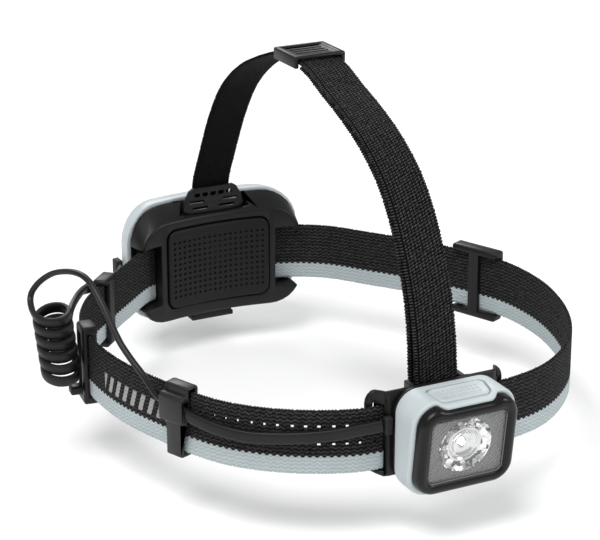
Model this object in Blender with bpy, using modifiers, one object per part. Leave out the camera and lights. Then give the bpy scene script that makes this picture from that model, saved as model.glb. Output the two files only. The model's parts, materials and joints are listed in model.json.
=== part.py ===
"""Headlamp with a front lamp, a rear battery pack, an elastic headband and a top strap.

Frame: metres, +Z up. The wearer looks along -Y, +X is to the wearer's left. The origin is the middle of
the headband's loop, at the middle of the band's height. Lengths below are millimetres, and the
helpers turn them into metres.
"""

import math

import bmesh
import bpy
from mathutils import Matrix, Vector

MM = 0.001
GAP = 0.35  # between pieces that touch

# Webbing
BAND_WIDTH, BAND_THICK = 25.0, 1.4
TOP_WIDTH, TOP_THICK = 17.6, 1.3
SLOT_HALF = BAND_WIDTH / 2 + 0.6  # half the height of a slot that the band passes through

# Lamp
LAMP_WIDTH, LAMP_HEIGHT, LAMP_RADIUS = 42.8, 39.0, 9.0
LAMP_BACK, LAMP_MIDDLE_Z = -115.4, 0.3
LAMP_WALL = 2.0
FACE_CENTRE = (0.0, -131.8, -0.2)  # middle of the lens's outer face
FACE_TILT = math.radians(7.4)  # the face looks down by this
WINDOW_WIDTH, WINDOW_HEIGHT = 31.0, 25.4
BEZEL_WIDTH, BEZEL_HEIGHT, BEZEL_RADIUS = 40.4, 35.4, 8.0
BEZEL_BACK = 3.3  # behind the lens's outer face
OPTIC_RADIUS = 10.6
BUTTON_WIDTH, BUTTON_DEPTH, BUTTON_Y = 22.4, 9.6, -123.6
TILT_AXIS = (0.0, -114.2, -16.3)
PIN_RADIUS = 1.0

# Bracket behind the lamp
BRACKET_HALF, BRACKET_TOP, BRACKET_BOTTOM = 28.8, 18.5, -15.0
PLATE_FRONT, PLATE_BACK = -113.2, -111.5
STRAP_BAR = (-106.7, 15.5, 1.6)  # y, z and radius of the bar that holds the top strap

# Battery pack: y is measured at its middle, and its sides wrap forward round the head
HEAD_RADIUS = 110.0
PACK_FRONT, PACK_PARTING, PACK_BACK = 82.0, 92.0, 108.0
PAD_WIDTH, PAD_HEIGHT, PAD_FACE, PAD_MIDDLE_Z = 48.6, 36.0, 80.9, 1.4
RECESS_HALF = 16.6  # half the width of the recess for the top strap's hook
POCKET_START, POCKET_HALF = 27.6, 14.0  # where the band's side pockets begin, and half their height
TAIL_Z = 9.0

# Cord
CORD_RADIUS = 1.2
COIL_RADIUS = 7.9

# The band's middle line seen from above, from the left slider round the front to the right one
BAND_FRONT = [
    (-92.0, 4.8), (-92.7, -4), (-92.6, -15), (-91.3, -28), (-88.7, -40.5), (-85.0, -52.5),
    (-80.4, -66), (-73.2, -80.4), (-64, -91.2), (-54.5, -98.8), (-44.5, -104.6), (-34, -108.8),
    (-27, -110), (-20, -110.4), (-12, -110.4), (12, -110.4), (20, -110.4), (27, -110.2), (33, -109.6),
    (44, -107), (54, -102.4), (64.5, -94.8), (75, -84.2), (84, -71), (90.5, -57.5), (95, -44),
    (97.8, -31), (98.6, -18), (97.8, -6), (95.6, 3), (92.2, 11),
]
BAND_REAR_LEFT = [
    (-91.9, 5.3), (-90.2, 12.6), (-86.6, 24), (-78.4, 38.2), (-69, 48.4), (-57.5, 60), (-48, 69.2),
    (-39.4, 77.6), (-33.4, 82.8), (-28.7, 85.4),
]
BAND_REAR_RIGHT = [
    (92, 11.5), (88.6, 19.5), (83.6, 29), (74.2, 44.2), (63.8, 58.2), (53.4, 72.2), (44.5, 79.4),
    (36, 83.8), (28.9, 86.2),
]

# The top strap's middle line seen from the side, as (y, z)
CROWN_CENTRE, CROWN_RADIUS = (-7.5, 54.9), 61.0
CROWN_FRONT_END, CROWN_REAR_END = -17.0, 17.0  # degrees from the crown's top
TOP_FRONT = [
    (-35, 109.3), (-50, 104), (-65, 97.2), (-79, 87.8), (-88.5, 77.4), (-95.8, 65.6), (-102, 51.6),
    (-105.3, 41), (-107.4, 30.4), (-108.5, 21),
]
TOP_REAR = [
    (21, 109.4), (35, 103.4), (48.6, 95), (59.6, 85), (69.4, 71.4), (75.8, 60), (81, 50),
    (85.4, 41.6), (87.4, 35.8), (87.8, 30.8),
]

# Routes of the cord's stretches, as (x, y, z)
CORD_BAND_RUN = [
    (-25.6, -114.8, 6.6), (-31.4, -112.7, 5.7), (-40.2, -109.9, 4.4), (-47.6, -106.4, 3.4),
    (-54.4, -102.6, 2.8), (-61.8, -97.5, 2.2), (-68.6, -91.6, 1.9), (-75.2, -83.8, 2.6),
    (-80.6, -74.8, 4.0), (-83.9, -66.0, 5.6), (-86.9, -58.6, 6.4),
]
CORD_FREE_RUN = [
    (-87.4, -57.6, 7.0), (-89.4, -55.2, 10.4), (-91.4, -52.0, 15.0), (-93.6, -46.6, 19.4),
    (-95.5, -40.4, 24.4), (-96.7, -35.5, 29.8), (-97.7, -30.6, 35.4), (-98.8, -25.0, 40.6),
    (-99.7, -19.5, 43.4), (-100.7, -13.5, 43.9), (-102.4, -6.4, 42.8), (-105.2, 1.2, 40.2),
    (-108.2, 6.4, 36.4), (-110.9, 9.2, 32.2), (-112.6, 9.4, 28.0),
]
COIL_TOP, COIL_BOTTOM = (-107.0, 2.9, 27.6), (-105.7, -4.1, -2.0)
CORD_RETURN = [
    (-101.2, -0.4, -5.0), (-99.8, 1.4, -5.8), (-98.4, 2.4, -4.9), (-97.7, 3.6, -1.2),
    (-97.2, 5.8, 3.8), (-96.6, 9.4, 8.2), (-94.6, 16.4, 11.4), (-90.4, 25.4, 13.4),
    (-84.6, 35.0, 14.0), (-78.2, 45.4, 12.6), (-73.6, 52.2, 11.0), (-66.2, 59.4, 8.6),
    (-59.6, 66.6, 6.2), (-53.0, 74.4, 4.4), (-47.2, 81.4, 3.4), (-43.7, 87.3, 3.0),
]

for old in list(bpy.data.objects):
    bpy.data.objects.remove(old, do_unlink=True)
parts = bpy.data.collections.new("headlamp")
cutters = bpy.data.collections.new("cutters")
bpy.context.scene.collection.children.link(parts)
bpy.context.scene.collection.children.link(cutters)

# name: colour, roughness, metallic
FINISHES = {
    "pale_shell": ((0.56, 0.61, 0.62), 0.45, 0.0),
    "black_plastic": ((0.022, 0.023, 0.025), 0.45, 0.0),
    "satin_black": ((0.015, 0.015, 0.016), 0.3, 0.0),
    "grey_plastic": ((0.06, 0.062, 0.065), 0.5, 0.0),
    "rubber": ((0.02, 0.02, 0.021), 0.75, 0.0),
    "webbing": ((0.03, 0.03, 0.032), 0.9, 0.0),
    "clear": ((0.85, 0.87, 0.88), 0.08, 0.0),
    "red_lens": ((0.45, 0.02, 0.02), 0.15, 0.0),
    "circuit": ((0.02, 0.12, 0.05), 0.5, 0.0),
    "led": ((0.95, 0.85, 0.3), 0.3, 0.0),
    "steel": ((0.55, 0.55, 0.56), 0.3, 1.0),
    "aluminium": ((0.7, 0.7, 0.72), 0.35, 1.0),
    "cell_wrap": ((0.05, 0.12, 0.4), 0.4, 0.0),
}


def finish_of(name):
    """The Principled material of a finish, made once."""
    if name in bpy.data.materials:
        return bpy.data.materials[name]
    colour, roughness, metallic = FINISHES[name]
    material = bpy.data.materials.new(name)
    material.use_nodes = True
    shader = material.node_tree.nodes["Principled BSDF"]
    shader.inputs["Base Color"].default_value = (*colour, 1)
    shader.inputs["Roughness"].default_value = roughness
    shader.inputs["Metallic"].default_value = metallic
    return material


def add(name, data, finish):
    """Puts a mesh or a curve in the parts collection as a named object."""
    piece = bpy.data.objects.new(name, data)
    data.materials.clear()
    data.materials.append(finish_of(finish))
    parts.objects.link(piece)
    return piece


def vector(point):
    return Vector(point) * MM


def axis_matrix(axis, centre):
    """Turns +Z to an axis, and moves to a centre."""
    turn = Vector((0, 0, 1)).rotation_difference(Vector(axis)).to_matrix().to_4x4()
    return Matrix.Translation(vector(centre)) @ turn


# Frames for flat outlines: from the front (x, z), from above (x, y) and from the side (y, z)
FROM_FRONT = Matrix.Rotation(math.pi / 2, 4, "X")
FROM_ABOVE = Matrix.Identity(4)
FROM_SIDE = Matrix(((0, 0, 1, 0), (1, 0, 0, 0), (0, 1, 0, 0), (0, 0, 0, 1)))
FACE = Matrix.Translation(vector(FACE_CENTRE)) @ Matrix.Rotation(FACE_TILT, 4, "X")


def rounded(width, height, radius, centre=(0, 0), steps=5):
    """A rectangle with round corners."""
    points = []
    for turn, side_u, side_v in ((0, 1, 1), (1, -1, 1), (2, -1, -1), (3, 1, -1)):
        u = centre[0] + side_u * (width / 2 - radius)
        v = centre[1] + side_v * (height / 2 - radius)
        for i in range(steps + 1):
            angle = math.pi / 2 * (turn + i / steps)
            points.append((u + radius * math.cos(angle), v + radius * math.sin(angle)))
    return points


def mesh_of(piece_data):
    """The evaluated mesh of curve data, with its caps welded on."""
    holder = bpy.data.objects.new("outline", piece_data)
    bpy.context.scene.collection.objects.link(holder)
    evaluated = holder.evaluated_get(bpy.context.evaluated_depsgraph_get())
    mesh = bpy.data.meshes.new_from_object(evaluated)
    bpy.data.objects.remove(holder)
    bpy.data.curves.remove(piece_data)
    work = bmesh.new()
    work.from_mesh(mesh)
    bmesh.ops.remove_doubles(work, verts=work.verts, dist=0.01 * MM)
    bmesh.ops.recalc_face_normals(work, faces=work.faces)
    work.to_mesh(mesh)
    work.free()
    return mesh


def plate(name, loops, low, high, finish, frame=FROM_FRONT, edge=0.0):
    """An outline, with holes if there is more than one loop, from depth low to depth high.

    The depth runs along +Y from the front, +Z from above and +X from the side. edge rounds the rims.
    """
    curve = bpy.data.curves.new(name, "CURVE")
    curve.dimensions, curve.fill_mode = "2D", "BOTH"
    curve.extrude = ((high - low) / 2 - edge) * MM
    curve.bevel_depth, curve.offset, curve.bevel_resolution = edge * MM, -edge * MM, 1
    for loop in loops:
        spline = curve.splines.new("POLY")
        spline.points.add(len(loop) - 1)
        for point, (u, v) in zip(spline.points, loop):
            point.co = (u * MM, v * MM, 0, 1)
        spline.use_cyclic_u = True
    mesh = mesh_of(curve)
    middle = (low + high) / 2 * MM
    depth = -middle if frame in (FROM_FRONT, FACE @ FROM_FRONT) else middle
    mesh.transform(frame @ Matrix.Translation((0, 0, depth)))
    return add(name, mesh, finish)


def box(name, low, high, finish, frame=None, edge=0.0):
    """A box between two corners, in a frame of its own if one is given."""
    work = bmesh.new()
    bmesh.ops.create_cube(work, size=1)
    size, middle = vector(high) - vector(low), (vector(high) + vector(low)) / 2
    bmesh.ops.scale(work, vec=size, verts=work.verts)
    bmesh.ops.translate(work, vec=middle, verts=work.verts)
    mesh = bpy.data.meshes.new(name)
    work.to_mesh(mesh)
    work.free()
    if frame:
        mesh.transform(frame)
    piece = add(name, mesh, finish)
    if edge:
        round_edges(piece, edge)
    return piece


def rod(name, radius, length, centre, axis, finish, sides=20, tip=None):
    """A cylinder, or a cone with its own tip radius, with its middle at centre."""
    work = bmesh.new()
    bmesh.ops.create_cone(
        work, cap_ends=True, segments=sides, radius1=radius * MM,
        radius2=(radius if tip is None else tip) * MM, depth=length * MM,
    )
    mesh = bpy.data.meshes.new(name)
    work.to_mesh(mesh)
    work.free()
    mesh.transform(axis_matrix(axis, centre))
    mesh.shade_smooth()
    mesh.set_sharp_from_angle(angle=math.radians(40))
    return add(name, mesh, finish)


def turned(name, profile, frame, finish, sides=28):
    """A profile of (radius, height) points, from top to bottom down its outer side, turned round Z."""
    mesh = bpy.data.meshes.new(name)
    edges = [(i, i + 1) for i in range(len(profile) - 1)]
    mesh.from_pydata([(radius * MM, 0, height * MM) for radius, height in profile], edges, [])
    piece = add(name, mesh, finish)
    screw = piece.modifiers.new("turn", "SCREW")
    screw.steps = screw.render_steps = sides
    screw.use_merge_vertices, screw.merge_threshold = True, 0.00001
    piece.matrix_world = frame
    return piece


def round_edges(piece, width, segments=2, angle=35):
    bevel = piece.modifiers.new("edges", "BEVEL")
    bevel.width, bevel.segments = width * MM, segments
    bevel.limit_method, bevel.angle_limit = "ANGLE", math.radians(angle)


def combine(piece, other, operation="DIFFERENCE"):
    """Cuts a piece with another object, or joins that object to it."""
    boolean = piece.modifiers.new(other.name, "BOOLEAN")
    boolean.object, boolean.operation = other, operation
    parts.objects.unlink(other)
    cutters.objects.link(other)
    other.hide_render, other.display_type = True, "WIRE"
    return piece


def cut_box(piece, low, high, frame=None):
    return combine(piece, box(piece.name + "_cut", low, high, "steel", frame))


def join_box(piece, low, high, frame=None):
    return combine(piece, box(piece.name + "_lug", low, high, "steel", frame), "UNION")


def smooth(route, step):
    """Points about step apart on a smooth curve through the route's points."""
    points = [Vector(p) for p in route]
    ends = [2 * points[0] - points[1], *points, 2 * points[-1] - points[-2]]
    line = []
    for a, b, c, d in zip(ends, ends[1:], ends[2:], ends[3:]):
        count = max(1, round((c - b).length / step))
        for i in range(count):
            t = i / count
            line.append(0.5 * (2 * b + (c - a) * t + (2 * a - 5 * b + 4 * c - d) * t**2
                               + (3 * b - a - 3 * c + d) * t**3))
    return line + [points[-1]]


def ribbon_outline(line, thick):
    """The closed outline of a strip of webbing seen from its edge."""
    left, right = [], []
    for i, point in enumerate(line):
        along = line[min(i + 1, len(line) - 1)] - line[max(i - 1, 0)]
        across = Vector((-along.y, along.x)).normalized() * thick / 2
        left.append(tuple(point + across))
        right.append(tuple(point - across))
    return left + right[::-1]


def webbing(name, line, width, thick, frame):
    return plate(name, [ribbon_outline(line, thick)], -width / 2, width / 2, "webbing", frame)


def tube(name, route, radius, finish, step):
    """A round tube along a smooth curve through the route."""
    curve = bpy.data.curves.new(name, "CURVE")
    curve.dimensions, curve.use_fill_caps = "3D", True
    curve.bevel_depth, curve.bevel_resolution = radius * MM, 2
    line = smooth(route, step)
    spline = curve.splines.new("POLY")
    spline.points.add(len(line) - 1)
    for point, place in zip(spline.points, line):
        point.co = (*(place * MM), 1)
    return add(name, curve, finish)


def pivot(name, place, pieces):
    """An empty on a joint's axis, which carries the joint's pieces."""
    empty = bpy.data.objects.new(name, None)
    empty.empty_display_size = 5 * MM
    empty.location = vector(place)
    parts.objects.link(empty)
    for piece in pieces:
        piece.parent = empty
        piece.matrix_parent_inverse = Matrix.Translation(-empty.location)
    return empty


def wrap(piece, count):
    """Bends a piece forward towards its sides, so that it follows the head: count strips across."""
    work = bmesh.new()
    work.from_mesh(piece.data)
    low = min(v.co.x for v in work.verts)
    high = max(v.co.x for v in work.verts)
    for i in range(1, count):
        x = low + (high - low) * i / count
        everything = work.verts[:] + work.edges[:] + work.faces[:]
        bmesh.ops.bisect_plane(work, geom=everything, plane_co=(x, 0, 0), plane_no=(1, 0, 0))
    for vertex in work.verts:
        vertex.co.y -= vertex.co.x**2 / (2 * HEAD_RADIUS * MM)
    bmesh.ops.triangulate(work, faces=work.faces)
    work.to_mesh(piece.data)
    work.free()
    return piece


def loft(name, sections, finish, caps=True):
    """A skin through closed sections of equal point counts, with flat ends."""
    work = bmesh.new()
    rings = [[work.verts.new(vector(p)) for p in section] for section in sections]
    count = len(rings[0])
    for ring, following in zip(rings, rings[1:]):
        for i in range(count):
            j = (i + 1) % count
            work.faces.new((ring[i], ring[j], following[j], following[i]))
    work.faces.new(rings[-1])
    if caps:
        work.faces.new(rings[0][::-1])
    bmesh.ops.recalc_face_normals(work, faces=work.faces)
    mesh = bpy.data.meshes.new(name)
    work.to_mesh(mesh)
    work.free()
    return add(name, mesh, finish)


# ---------------------------------------------------------------- headband and top strap


def headband():
    for name, route in (
        ("headband_front", BAND_FRONT),
        ("headband_rear_left", BAND_REAR_LEFT),
        ("headband_rear_right", BAND_REAR_RIGHT),
    ):
        webbing(name, smooth(route, 5), BAND_WIDTH, BAND_THICK, FROM_ABOVE)


def crown(start, end, radius=CROWN_RADIUS):
    """Points on the crown's arc, between two angles from its top."""
    steps = 8
    angles = [math.radians(start + (end - start) * i / steps) for i in range(steps + 1)]
    return [
        Vector((CROWN_CENTRE[0] + radius * math.sin(a), CROWN_CENTRE[1] + radius * math.cos(a)))
        for a in angles
    ]


def top_strap():
    rear = crown(0.4, CROWN_REAR_END) + smooth(TOP_REAR, 6)
    webbing("top_strap_rear", rear, TOP_WIDTH, TOP_THICK, FROM_SIDE)
    outer = crown(-0.4, CROWN_FRONT_END) + smooth(TOP_FRONT, 6)
    bar_y, bar_z, bar_radius = STRAP_BAR
    turn = bar_radius + GAP + TOP_THICK / 2
    loop = [
        Vector((bar_y - turn * math.cos(a), bar_z - turn * math.sin(a)))
        for a in (math.pi * i / 8 for i in range(9))
    ]
    # The returning layer lies inside the outer one, and closes on it towards the slider.
    inner = []
    back = outer[4:]
    for i, point in enumerate(back):
        along = back[min(i + 1, len(back) - 1)] - back[max(i - 1, 0)]
        inward = Vector((-along.y, along.x)).normalized()
        gap = 1.75 + (2 * turn - 1.75) * (i / (len(back) - 1))**2
        inner.append(point + inward * gap)
    line = outer + loop + inner[::-1]
    webbing("top_strap_front", line, TOP_WIDTH, TOP_THICK, FROM_SIDE)


# ---------------------------------------------------------------- sliders, buckle and clip


def on_band(place, along):
    """A frame on the band: local X along it, local Y outwards, local Z up."""
    x = Vector((*along, 0)).normalized()
    z = Vector((0, 0, 1))
    y = z.cross(x)
    turn = Matrix((x, y, z)).transposed().to_4x4()
    return Matrix.Translation(vector((*place, 0))) @ turn


RIGHT_SLIDER = on_band((91.9, 11.7), (-0.39, 0.92))
LEFT_SLIDER = on_band((-92.05, 3.2), (-0.12, -0.993))
LEFT_KEEPER = on_band((-64.6, 52.9), (-0.69, -0.72))
CLIP = on_band((-81.5, -63.1), (0.37, -0.929))


def three_bar_slider(name, frame, length, height=32.6):
    """A slider whose two end bars lie outside the band and whose middle bar lies inside it."""
    half, deep, channel, bar = length / 2, 3.3, 1.15, 2.5
    outward = 1 if frame.col[1].xy.dot(frame.translation.xy) > 0 else -1
    piece = box(name, (-half, -deep, -height / 2), (half, deep, height / 2), "black_plastic", frame)
    round_edges(piece, 1.2)
    low, high = -SLOT_HALF, SLOT_HALF
    for side in (-1, 1):
        ends = sorted((side * bar, side * (half + 1)))
        across = sorted((-outward * (deep + 1), outward * channel))
        cut_box(piece, (ends[0], across[0], low), (ends[1], across[1], high), frame)
    window = sorted((-outward * channel, outward * (deep + 1)))
    cut_box(piece, (2.8 - half, window[0], low), (half - 2.8, window[1], high), frame)
    cut_box(piece, (-half - 1, -channel, low), (half + 1, channel, high), frame)
    return piece


def cable_keeper():
    """The small hook on the left slider's outside, which holds the cord below the coil."""
    frame = LEFT_SLIDER
    outward = 1 if frame.col[1].xy.dot(frame.translation.xy) > 0 else -1
    near, far = sorted((outward * 3.7, outward * 8.6))
    return box("cord_keeper", (0.4, near, -11.2), (5.6, far, -7.6), "black_plastic", frame, 0.8)


def cable_clip():
    """A clip over the band's upper and lower edges, with a channel for the cord on its outside."""
    # Seen along the band: (outwards, up)
    section = [
        (-2.9, -14.4), (2.9, -14.4), (2.9, 0.2), (5.9, 0.6), (5.9, 9.8), (5.5, 10.8), (4.6, 11.4),
        (3.5, 11.5), (3.3, 10.6), (2.7, 10.6), (2.5, 13.5), (1.9, 14.3), (-2.4, 14.5), (-3.3, 13.8),
        (-3.3, 1.0), (-1.4, 1.0), (-1.4, 13.0), (1.4, 13.0),
        (1.4, -13.0), (-1.4, -13.0), (-1.4, -9.5), (-2.9, -9.5),
    ]
    channel = [(1.7, 2.9), (4.9, 2.9), (4.9, 9.0), (1.7, 9.0)]
    across = Matrix(((0, 0, 1, 0), (1, 0, 0, 0), (0, 1, 0, 0), (0, 0, 0, 1)))
    outward = 1 if CLIP.col[1].xy.dot(CLIP.translation.xy) > 0 else -1
    loops = [[(outward * u, v) for u, v in loop] for loop in (section, channel)]
    clip = plate("cable_clip", loops, -6, 6, "grey_plastic", CLIP @ across)
    for start, end in ((-9, -5.2), (3.0, 9)):
        cut_box(clip, (start, -9, -16), (end, 9, 0.1), CLIP)
    return clip


def top_slider():
    """The slider on the crown: a ladder top, side rails, and one bar under the strap."""
    middle_y, half, side, inner = CROWN_CENTRE[0], 9.4, 11.1, TOP_WIDTH / 2 + 0.5
    crown_z = CROWN_CENTRE[1] + CROWN_RADIUS
    above, below = crown_z + TOP_THICK / 2 + 0.4, crown_z - TOP_THICK / 2 - 0.4
    low, high = (-side, middle_y - half, below - 1.5), (side, middle_y + half, above + 1.3)
    piece = box("top_slider", low, high, "black_plastic", edge=0.7)
    cut_box(piece, (-inner, middle_y - half - 1, below), (inner, middle_y + half + 1, above))
    for start, end in ((-half - 1, -1.0), (3.4, half + 1)):
        cut_box(piece, (-inner, middle_y + start, below - 3), (inner, middle_y + end, below + 1))
    # A shallow recess in the top, with teeth across it
    cut_box(piece, (-8.8, middle_y - 7.2, above + 0.7), (8.8, middle_y + 7.2, above + 3))
    for i in range(5):
        y = middle_y - 6.2 + i * 2.9
        cut_box(piece, (-7, y, above - 1), (7, y + 1.2, above + 2))
    return piece


def top_hook():
    """The flat hook at the end of the top strap, which clips into the pack."""
    outline = [(-12.6, 23.4), (12.6, 23.4), (14.4, 26.4), (13.6, 30.4), (11.2, 34.6), (9.6, 35.6),
               (-9.6, 35.6), (-11.2, 34.6), (-13.6, 30.4), (-14.4, 26.4)]
    windows = []
    for i in range(5):
        u = -7.6 + i * 3.8
        windows.append(rounded(2.6, 1.8, 0.5, (u, 32.4), 2))
    for side in (-1, 1):
        windows.append(rounded(7.4, 1.3, 0.5, (side * 8.0, 29.4), 2))
        windows.append(rounded(7.4, 1.3, 0.5, (side * 6.4, 26.4), 2))
    return plate("top_hook", [outline, *windows], 84.4, 86.3, "black_plastic")


# ---------------------------------------------------------------- bracket and lamp


def front_bracket():
    """The plate behind the lamp: the band passes behind its middle and in front of its end bars."""
    half = BRACKET_HALF
    right = [(half, -108.3), (25.9, -108.7), (23.4, -112.3), (21.8, PLATE_FRONT)]
    back = [(21.6, PLATE_BACK), (22.6, -111.45), (25.4, -106.9), (half, -106.4)]
    front_line = right + [(-x, y) for x, y in right[::-1]]
    back_line = [(-x, y) for x, y in back[::-1]] + back
    piece = plate("front_bracket", [front_line + back_line], BRACKET_BOTTOM, BRACKET_TOP,
                  "satin_black", FROM_ABOVE)
    height = BRACKET_TOP - BRACKET_BOTTOM
    middle = (BRACKET_TOP + BRACKET_BOTTOM) / 2
    corners = plate("front_bracket_corners", [rounded(2 * half, height, 5.5, (0, middle))],
                    -118, -100, "steel")
    combine(piece, corners, "INTERSECT")
    for side in (-1, 1):
        ends = sorted((side * 22.7, side * 26.5))
        cut_box(piece, (ends[0], -116, -SLOT_HALF), (ends[1], -104, SLOT_HALF))
    # The bar for the top strap, on two lugs behind the plate
    bar_y, bar_z, bar_radius = STRAP_BAR
    lug_near, lug_far = TOP_WIDTH / 2 + 0.5, TOP_WIDTH / 2 + 2.6
    for side in (-1, 1):
        ends = sorted((side * lug_near, side * lug_far))
        join_box(piece, (ends[0], PLATE_BACK - 0.6, 13.6), (ends[1], bar_y + 1.9, 18.0))
    bar = rod("strap_bar", bar_radius, 2 * lug_near + 2, (0, bar_y, bar_z), (1, 0, 0), "steel", 12)
    combine(piece, bar, "UNION")
    # The hinge's two lugs, at the bottom, with room between them for the lamp's knuckle
    cut_box(piece, (-8.3, -118, -18), (8.3, -100, -13.4))
    _, pin_y, pin_z = TILT_AXIS
    for side in (-1, 1):
        x = side * 10.2
        lug = rod("hinge_lug", 2.3, 3.8, (x, pin_y, pin_z), (1, 0, 0), "steel")
        combine(piece, lug, "UNION")
        join_box(piece, (x - 1.9, pin_y + 0.2, pin_z + 0.2), (x + 1.9, PLATE_BACK - 0.4, -13.2))
    hole = rod("hinge_hole", PIN_RADIUS + 0.3, 30, (0, pin_y, pin_z), (1, 0, 0), "steel")
    return combine(piece, hole)


def hinge_pin():
    return rod("hinge_pin", PIN_RADIUS, 25.2, TILT_AXIS, (1, 0, 0), "steel")


def lamp_cable_gland():
    return box("lamp_cord_gland", (-24.9, -116.6, 3.0), (-21.9, -113.6, 10.0), "rubber", edge=0.7)


def lamp_housing():
    """The pale shell: a wedge, deeper at the top, open at both ends, with a hole for the button."""
    centre = (0, LAMP_MIDDLE_Z)
    outer = rounded(LAMP_WIDTH, LAMP_HEIGHT, LAMP_RADIUS, centre, 7)
    inner = rounded(LAMP_WIDTH - 2 * LAMP_WALL, LAMP_HEIGHT - 2 * LAMP_WALL,
                    LAMP_RADIUS - LAMP_WALL, centre, 7)
    piece = plate("lamp_housing", [outer, inner], -137, LAMP_BACK, "pale_shell")
    cut_box(piece, (-40, -20, -40), (40, BEZEL_BACK + 0.3, 40), FACE)
    top = LAMP_MIDDLE_Z + LAMP_HEIGHT / 2
    hole = plate("button_hole", [rounded(BUTTON_WIDTH + 0.8, BUTTON_DEPTH + 0.8, 3.4, (0, BUTTON_Y))],
                 top - 4, top + 2, "steel", FROM_ABOVE)
    combine(piece, hole)
    return cut_box(piece, (-12.8, -118.0, -22), (12.8, -112, -12.8))


def lamp_bezel():
    outer = rounded(BEZEL_WIDTH, BEZEL_HEIGHT, BEZEL_RADIUS, (0, 0.3), 7)
    window = rounded(WINDOW_WIDTH, WINDOW_HEIGHT, 2.6)[::-1]
    return plate("lamp_bezel", [outer, window], -1.0, BEZEL_BACK, "satin_black",
                 FACE @ FROM_FRONT, edge=0.7)


def lens_and_optics():
    width, height = WINDOW_WIDTH - 2 * GAP, WINDOW_HEIGHT - 2 * GAP
    frame = FACE @ FROM_FRONT
    lens = plate("lamp_lens", [rounded(width, height, 2.3)], 0.1, 1.4, "clear", frame)
    loops = [rounded(width, height, 2.3), rounded(width - 3, height - 3, 1.2)]
    gasket = plate("lens_gasket", loops, 1.8, 2.6, "rubber", frame)
    # The optic narrows towards the light source and is hollow behind, where the source sits.
    outward = FACE @ Matrix.Rotation(math.pi / 2, 4, "X")
    profile = [(0, -1.9), (OPTIC_RADIUS, -1.9), (OPTIC_RADIUS, -3.2), (8.6, -6.4), (4.6, -9.2),
               (3.2, -9.2), (3.2, -7.0), (0, -6.6)]
    optic = turned("main_optic", profile, outward, "clear")
    board = plate("led_board", [rounded(25, 20, 2, steps=2)], 10.2, 11.6, "circuit", frame)
    sink = plate("heat_sink", [rounded(27, 22, 2, steps=2)], 12.0, 13.4, "aluminium", frame)
    source = turned("main_led", [(0, -7.5), (0.9, -7.8), (1.7, -8.5), (2.2, -9.0), (2.2, -9.9), (0, -9.9)],
                    outward, "led", 16)
    return [lens, gasket, optic, board, sink, source]


def lamp_back_cover():
    """The flat cover behind the lamp, with the hinge's knuckle at its foot."""
    outline = rounded(LAMP_WIDTH - 1.6, LAMP_HEIGHT - 1.6, LAMP_RADIUS - 0.8, (0, LAMP_MIDDLE_Z), 6)
    piece = plate("lamp_back_cover", [outline], -115.05, -113.6, "black_plastic")
    _, pin_y, pin_z = TILT_AXIS
    for side in (-1, 1):
        ends = sorted((side * 7.9, side * 12.8))
        cut_box(piece, (ends[0], -118, -22), (ends[1], -112, -12.8))
    knuckle = rod("hinge_knuckle", 2.3, 15.2, (0, pin_y, pin_z), (1, 0, 0), "steel")
    combine(piece, knuckle, "UNION")
    hole = rod("knuckle_hole", PIN_RADIUS + 0.3, 20, (0, pin_y, pin_z), (1, 0, 0), "steel")
    combine(piece, hole)
    for i, (x, z) in enumerate(LAMP_SCREWS):
        combine(piece, rod(f"screw_hole_{i}", 1.4, 6, (x, -114, z), (0, 1, 0), "steel", 12))
    return piece


LAMP_SCREWS = [(-16.2, 15.0), (16.2, 15.0), (-16.2, -13.6), (16.2, -13.6)]


def lamp_screws():
    return [
        rod(f"lamp_screw_{i + 1}", 1.0, 5.6, (x, -116.5, z), (0, 1, 0), "steel", 12)
        for i, (x, z) in enumerate(LAMP_SCREWS)
    ]


def mode_button():
    top = LAMP_MIDDLE_Z + LAMP_HEIGHT / 2
    outline = rounded(BUTTON_WIDTH, BUTTON_DEPTH, 3.0, (0, BUTTON_Y))
    return plate("mode_button", [outline], top - 1.9, top + 0.7, "pale_shell", FROM_ABOVE, edge=0.4)


def button_switch():
    top = LAMP_MIDDLE_Z + LAMP_HEIGHT / 2
    return box("button_switch", (-3, BUTTON_Y - 3, top - 5.2), (3, BUTTON_Y + 3, top - 2.9), "steel")


# ---------------------------------------------------------------- battery pack


def pack_section(half_width, low, high, radius, y):
    """The pack's rounded outline at one depth, wrapped round the head."""
    outline = rounded(2 * half_width, high - low, radius, (0, (high + low) / 2), 7)
    return [(x, y, z) for x, z in outline]


def pack_inner_shell():
    sections = [
        pack_section(38.2, -21.8, 23.4, 13, PACK_FRONT),
        pack_section(39.0, -22.4, 24.4, 14, PACK_FRONT + 1.6),
        pack_section(40.2, -22.8, 29.4, 16, PACK_PARTING - 0.8),
        pack_section(40.2, -22.8, 29.4, 16, PACK_PARTING),
    ]
    piece = loft("pack_inner_shell", sections, "black_plastic")
    wrap(piece, 12)
    # The seat of the pad, the hollow behind it, the two side pockets and the recess for the hook
    seat = plate("pad_seat", [rounded(PAD_WIDTH + 0.8, PAD_HEIGHT + 0.8, 4.4, (0, PAD_MIDDLE_Z))],
                 PACK_FRONT - 4, PACK_FRONT + 1.3, "steel")
    wrap(seat, 8)
    combine(piece, seat)
    cut_box(piece, (-20, PACK_FRONT + 3.2, -17), (20, PACK_PARTING + 2, 18))
    for side in (-1, 1):
        ends = sorted((side * POCKET_START, side * 50))
        cut_box(piece, (ends[0], 60, -POCKET_HALF), (ends[1], PACK_PARTING - 3.6, POCKET_HALF))
    return cut_box(piece, (-RECESS_HALF, 83.4, 23.0), (RECESS_HALF, 89.6, 40))


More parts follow.
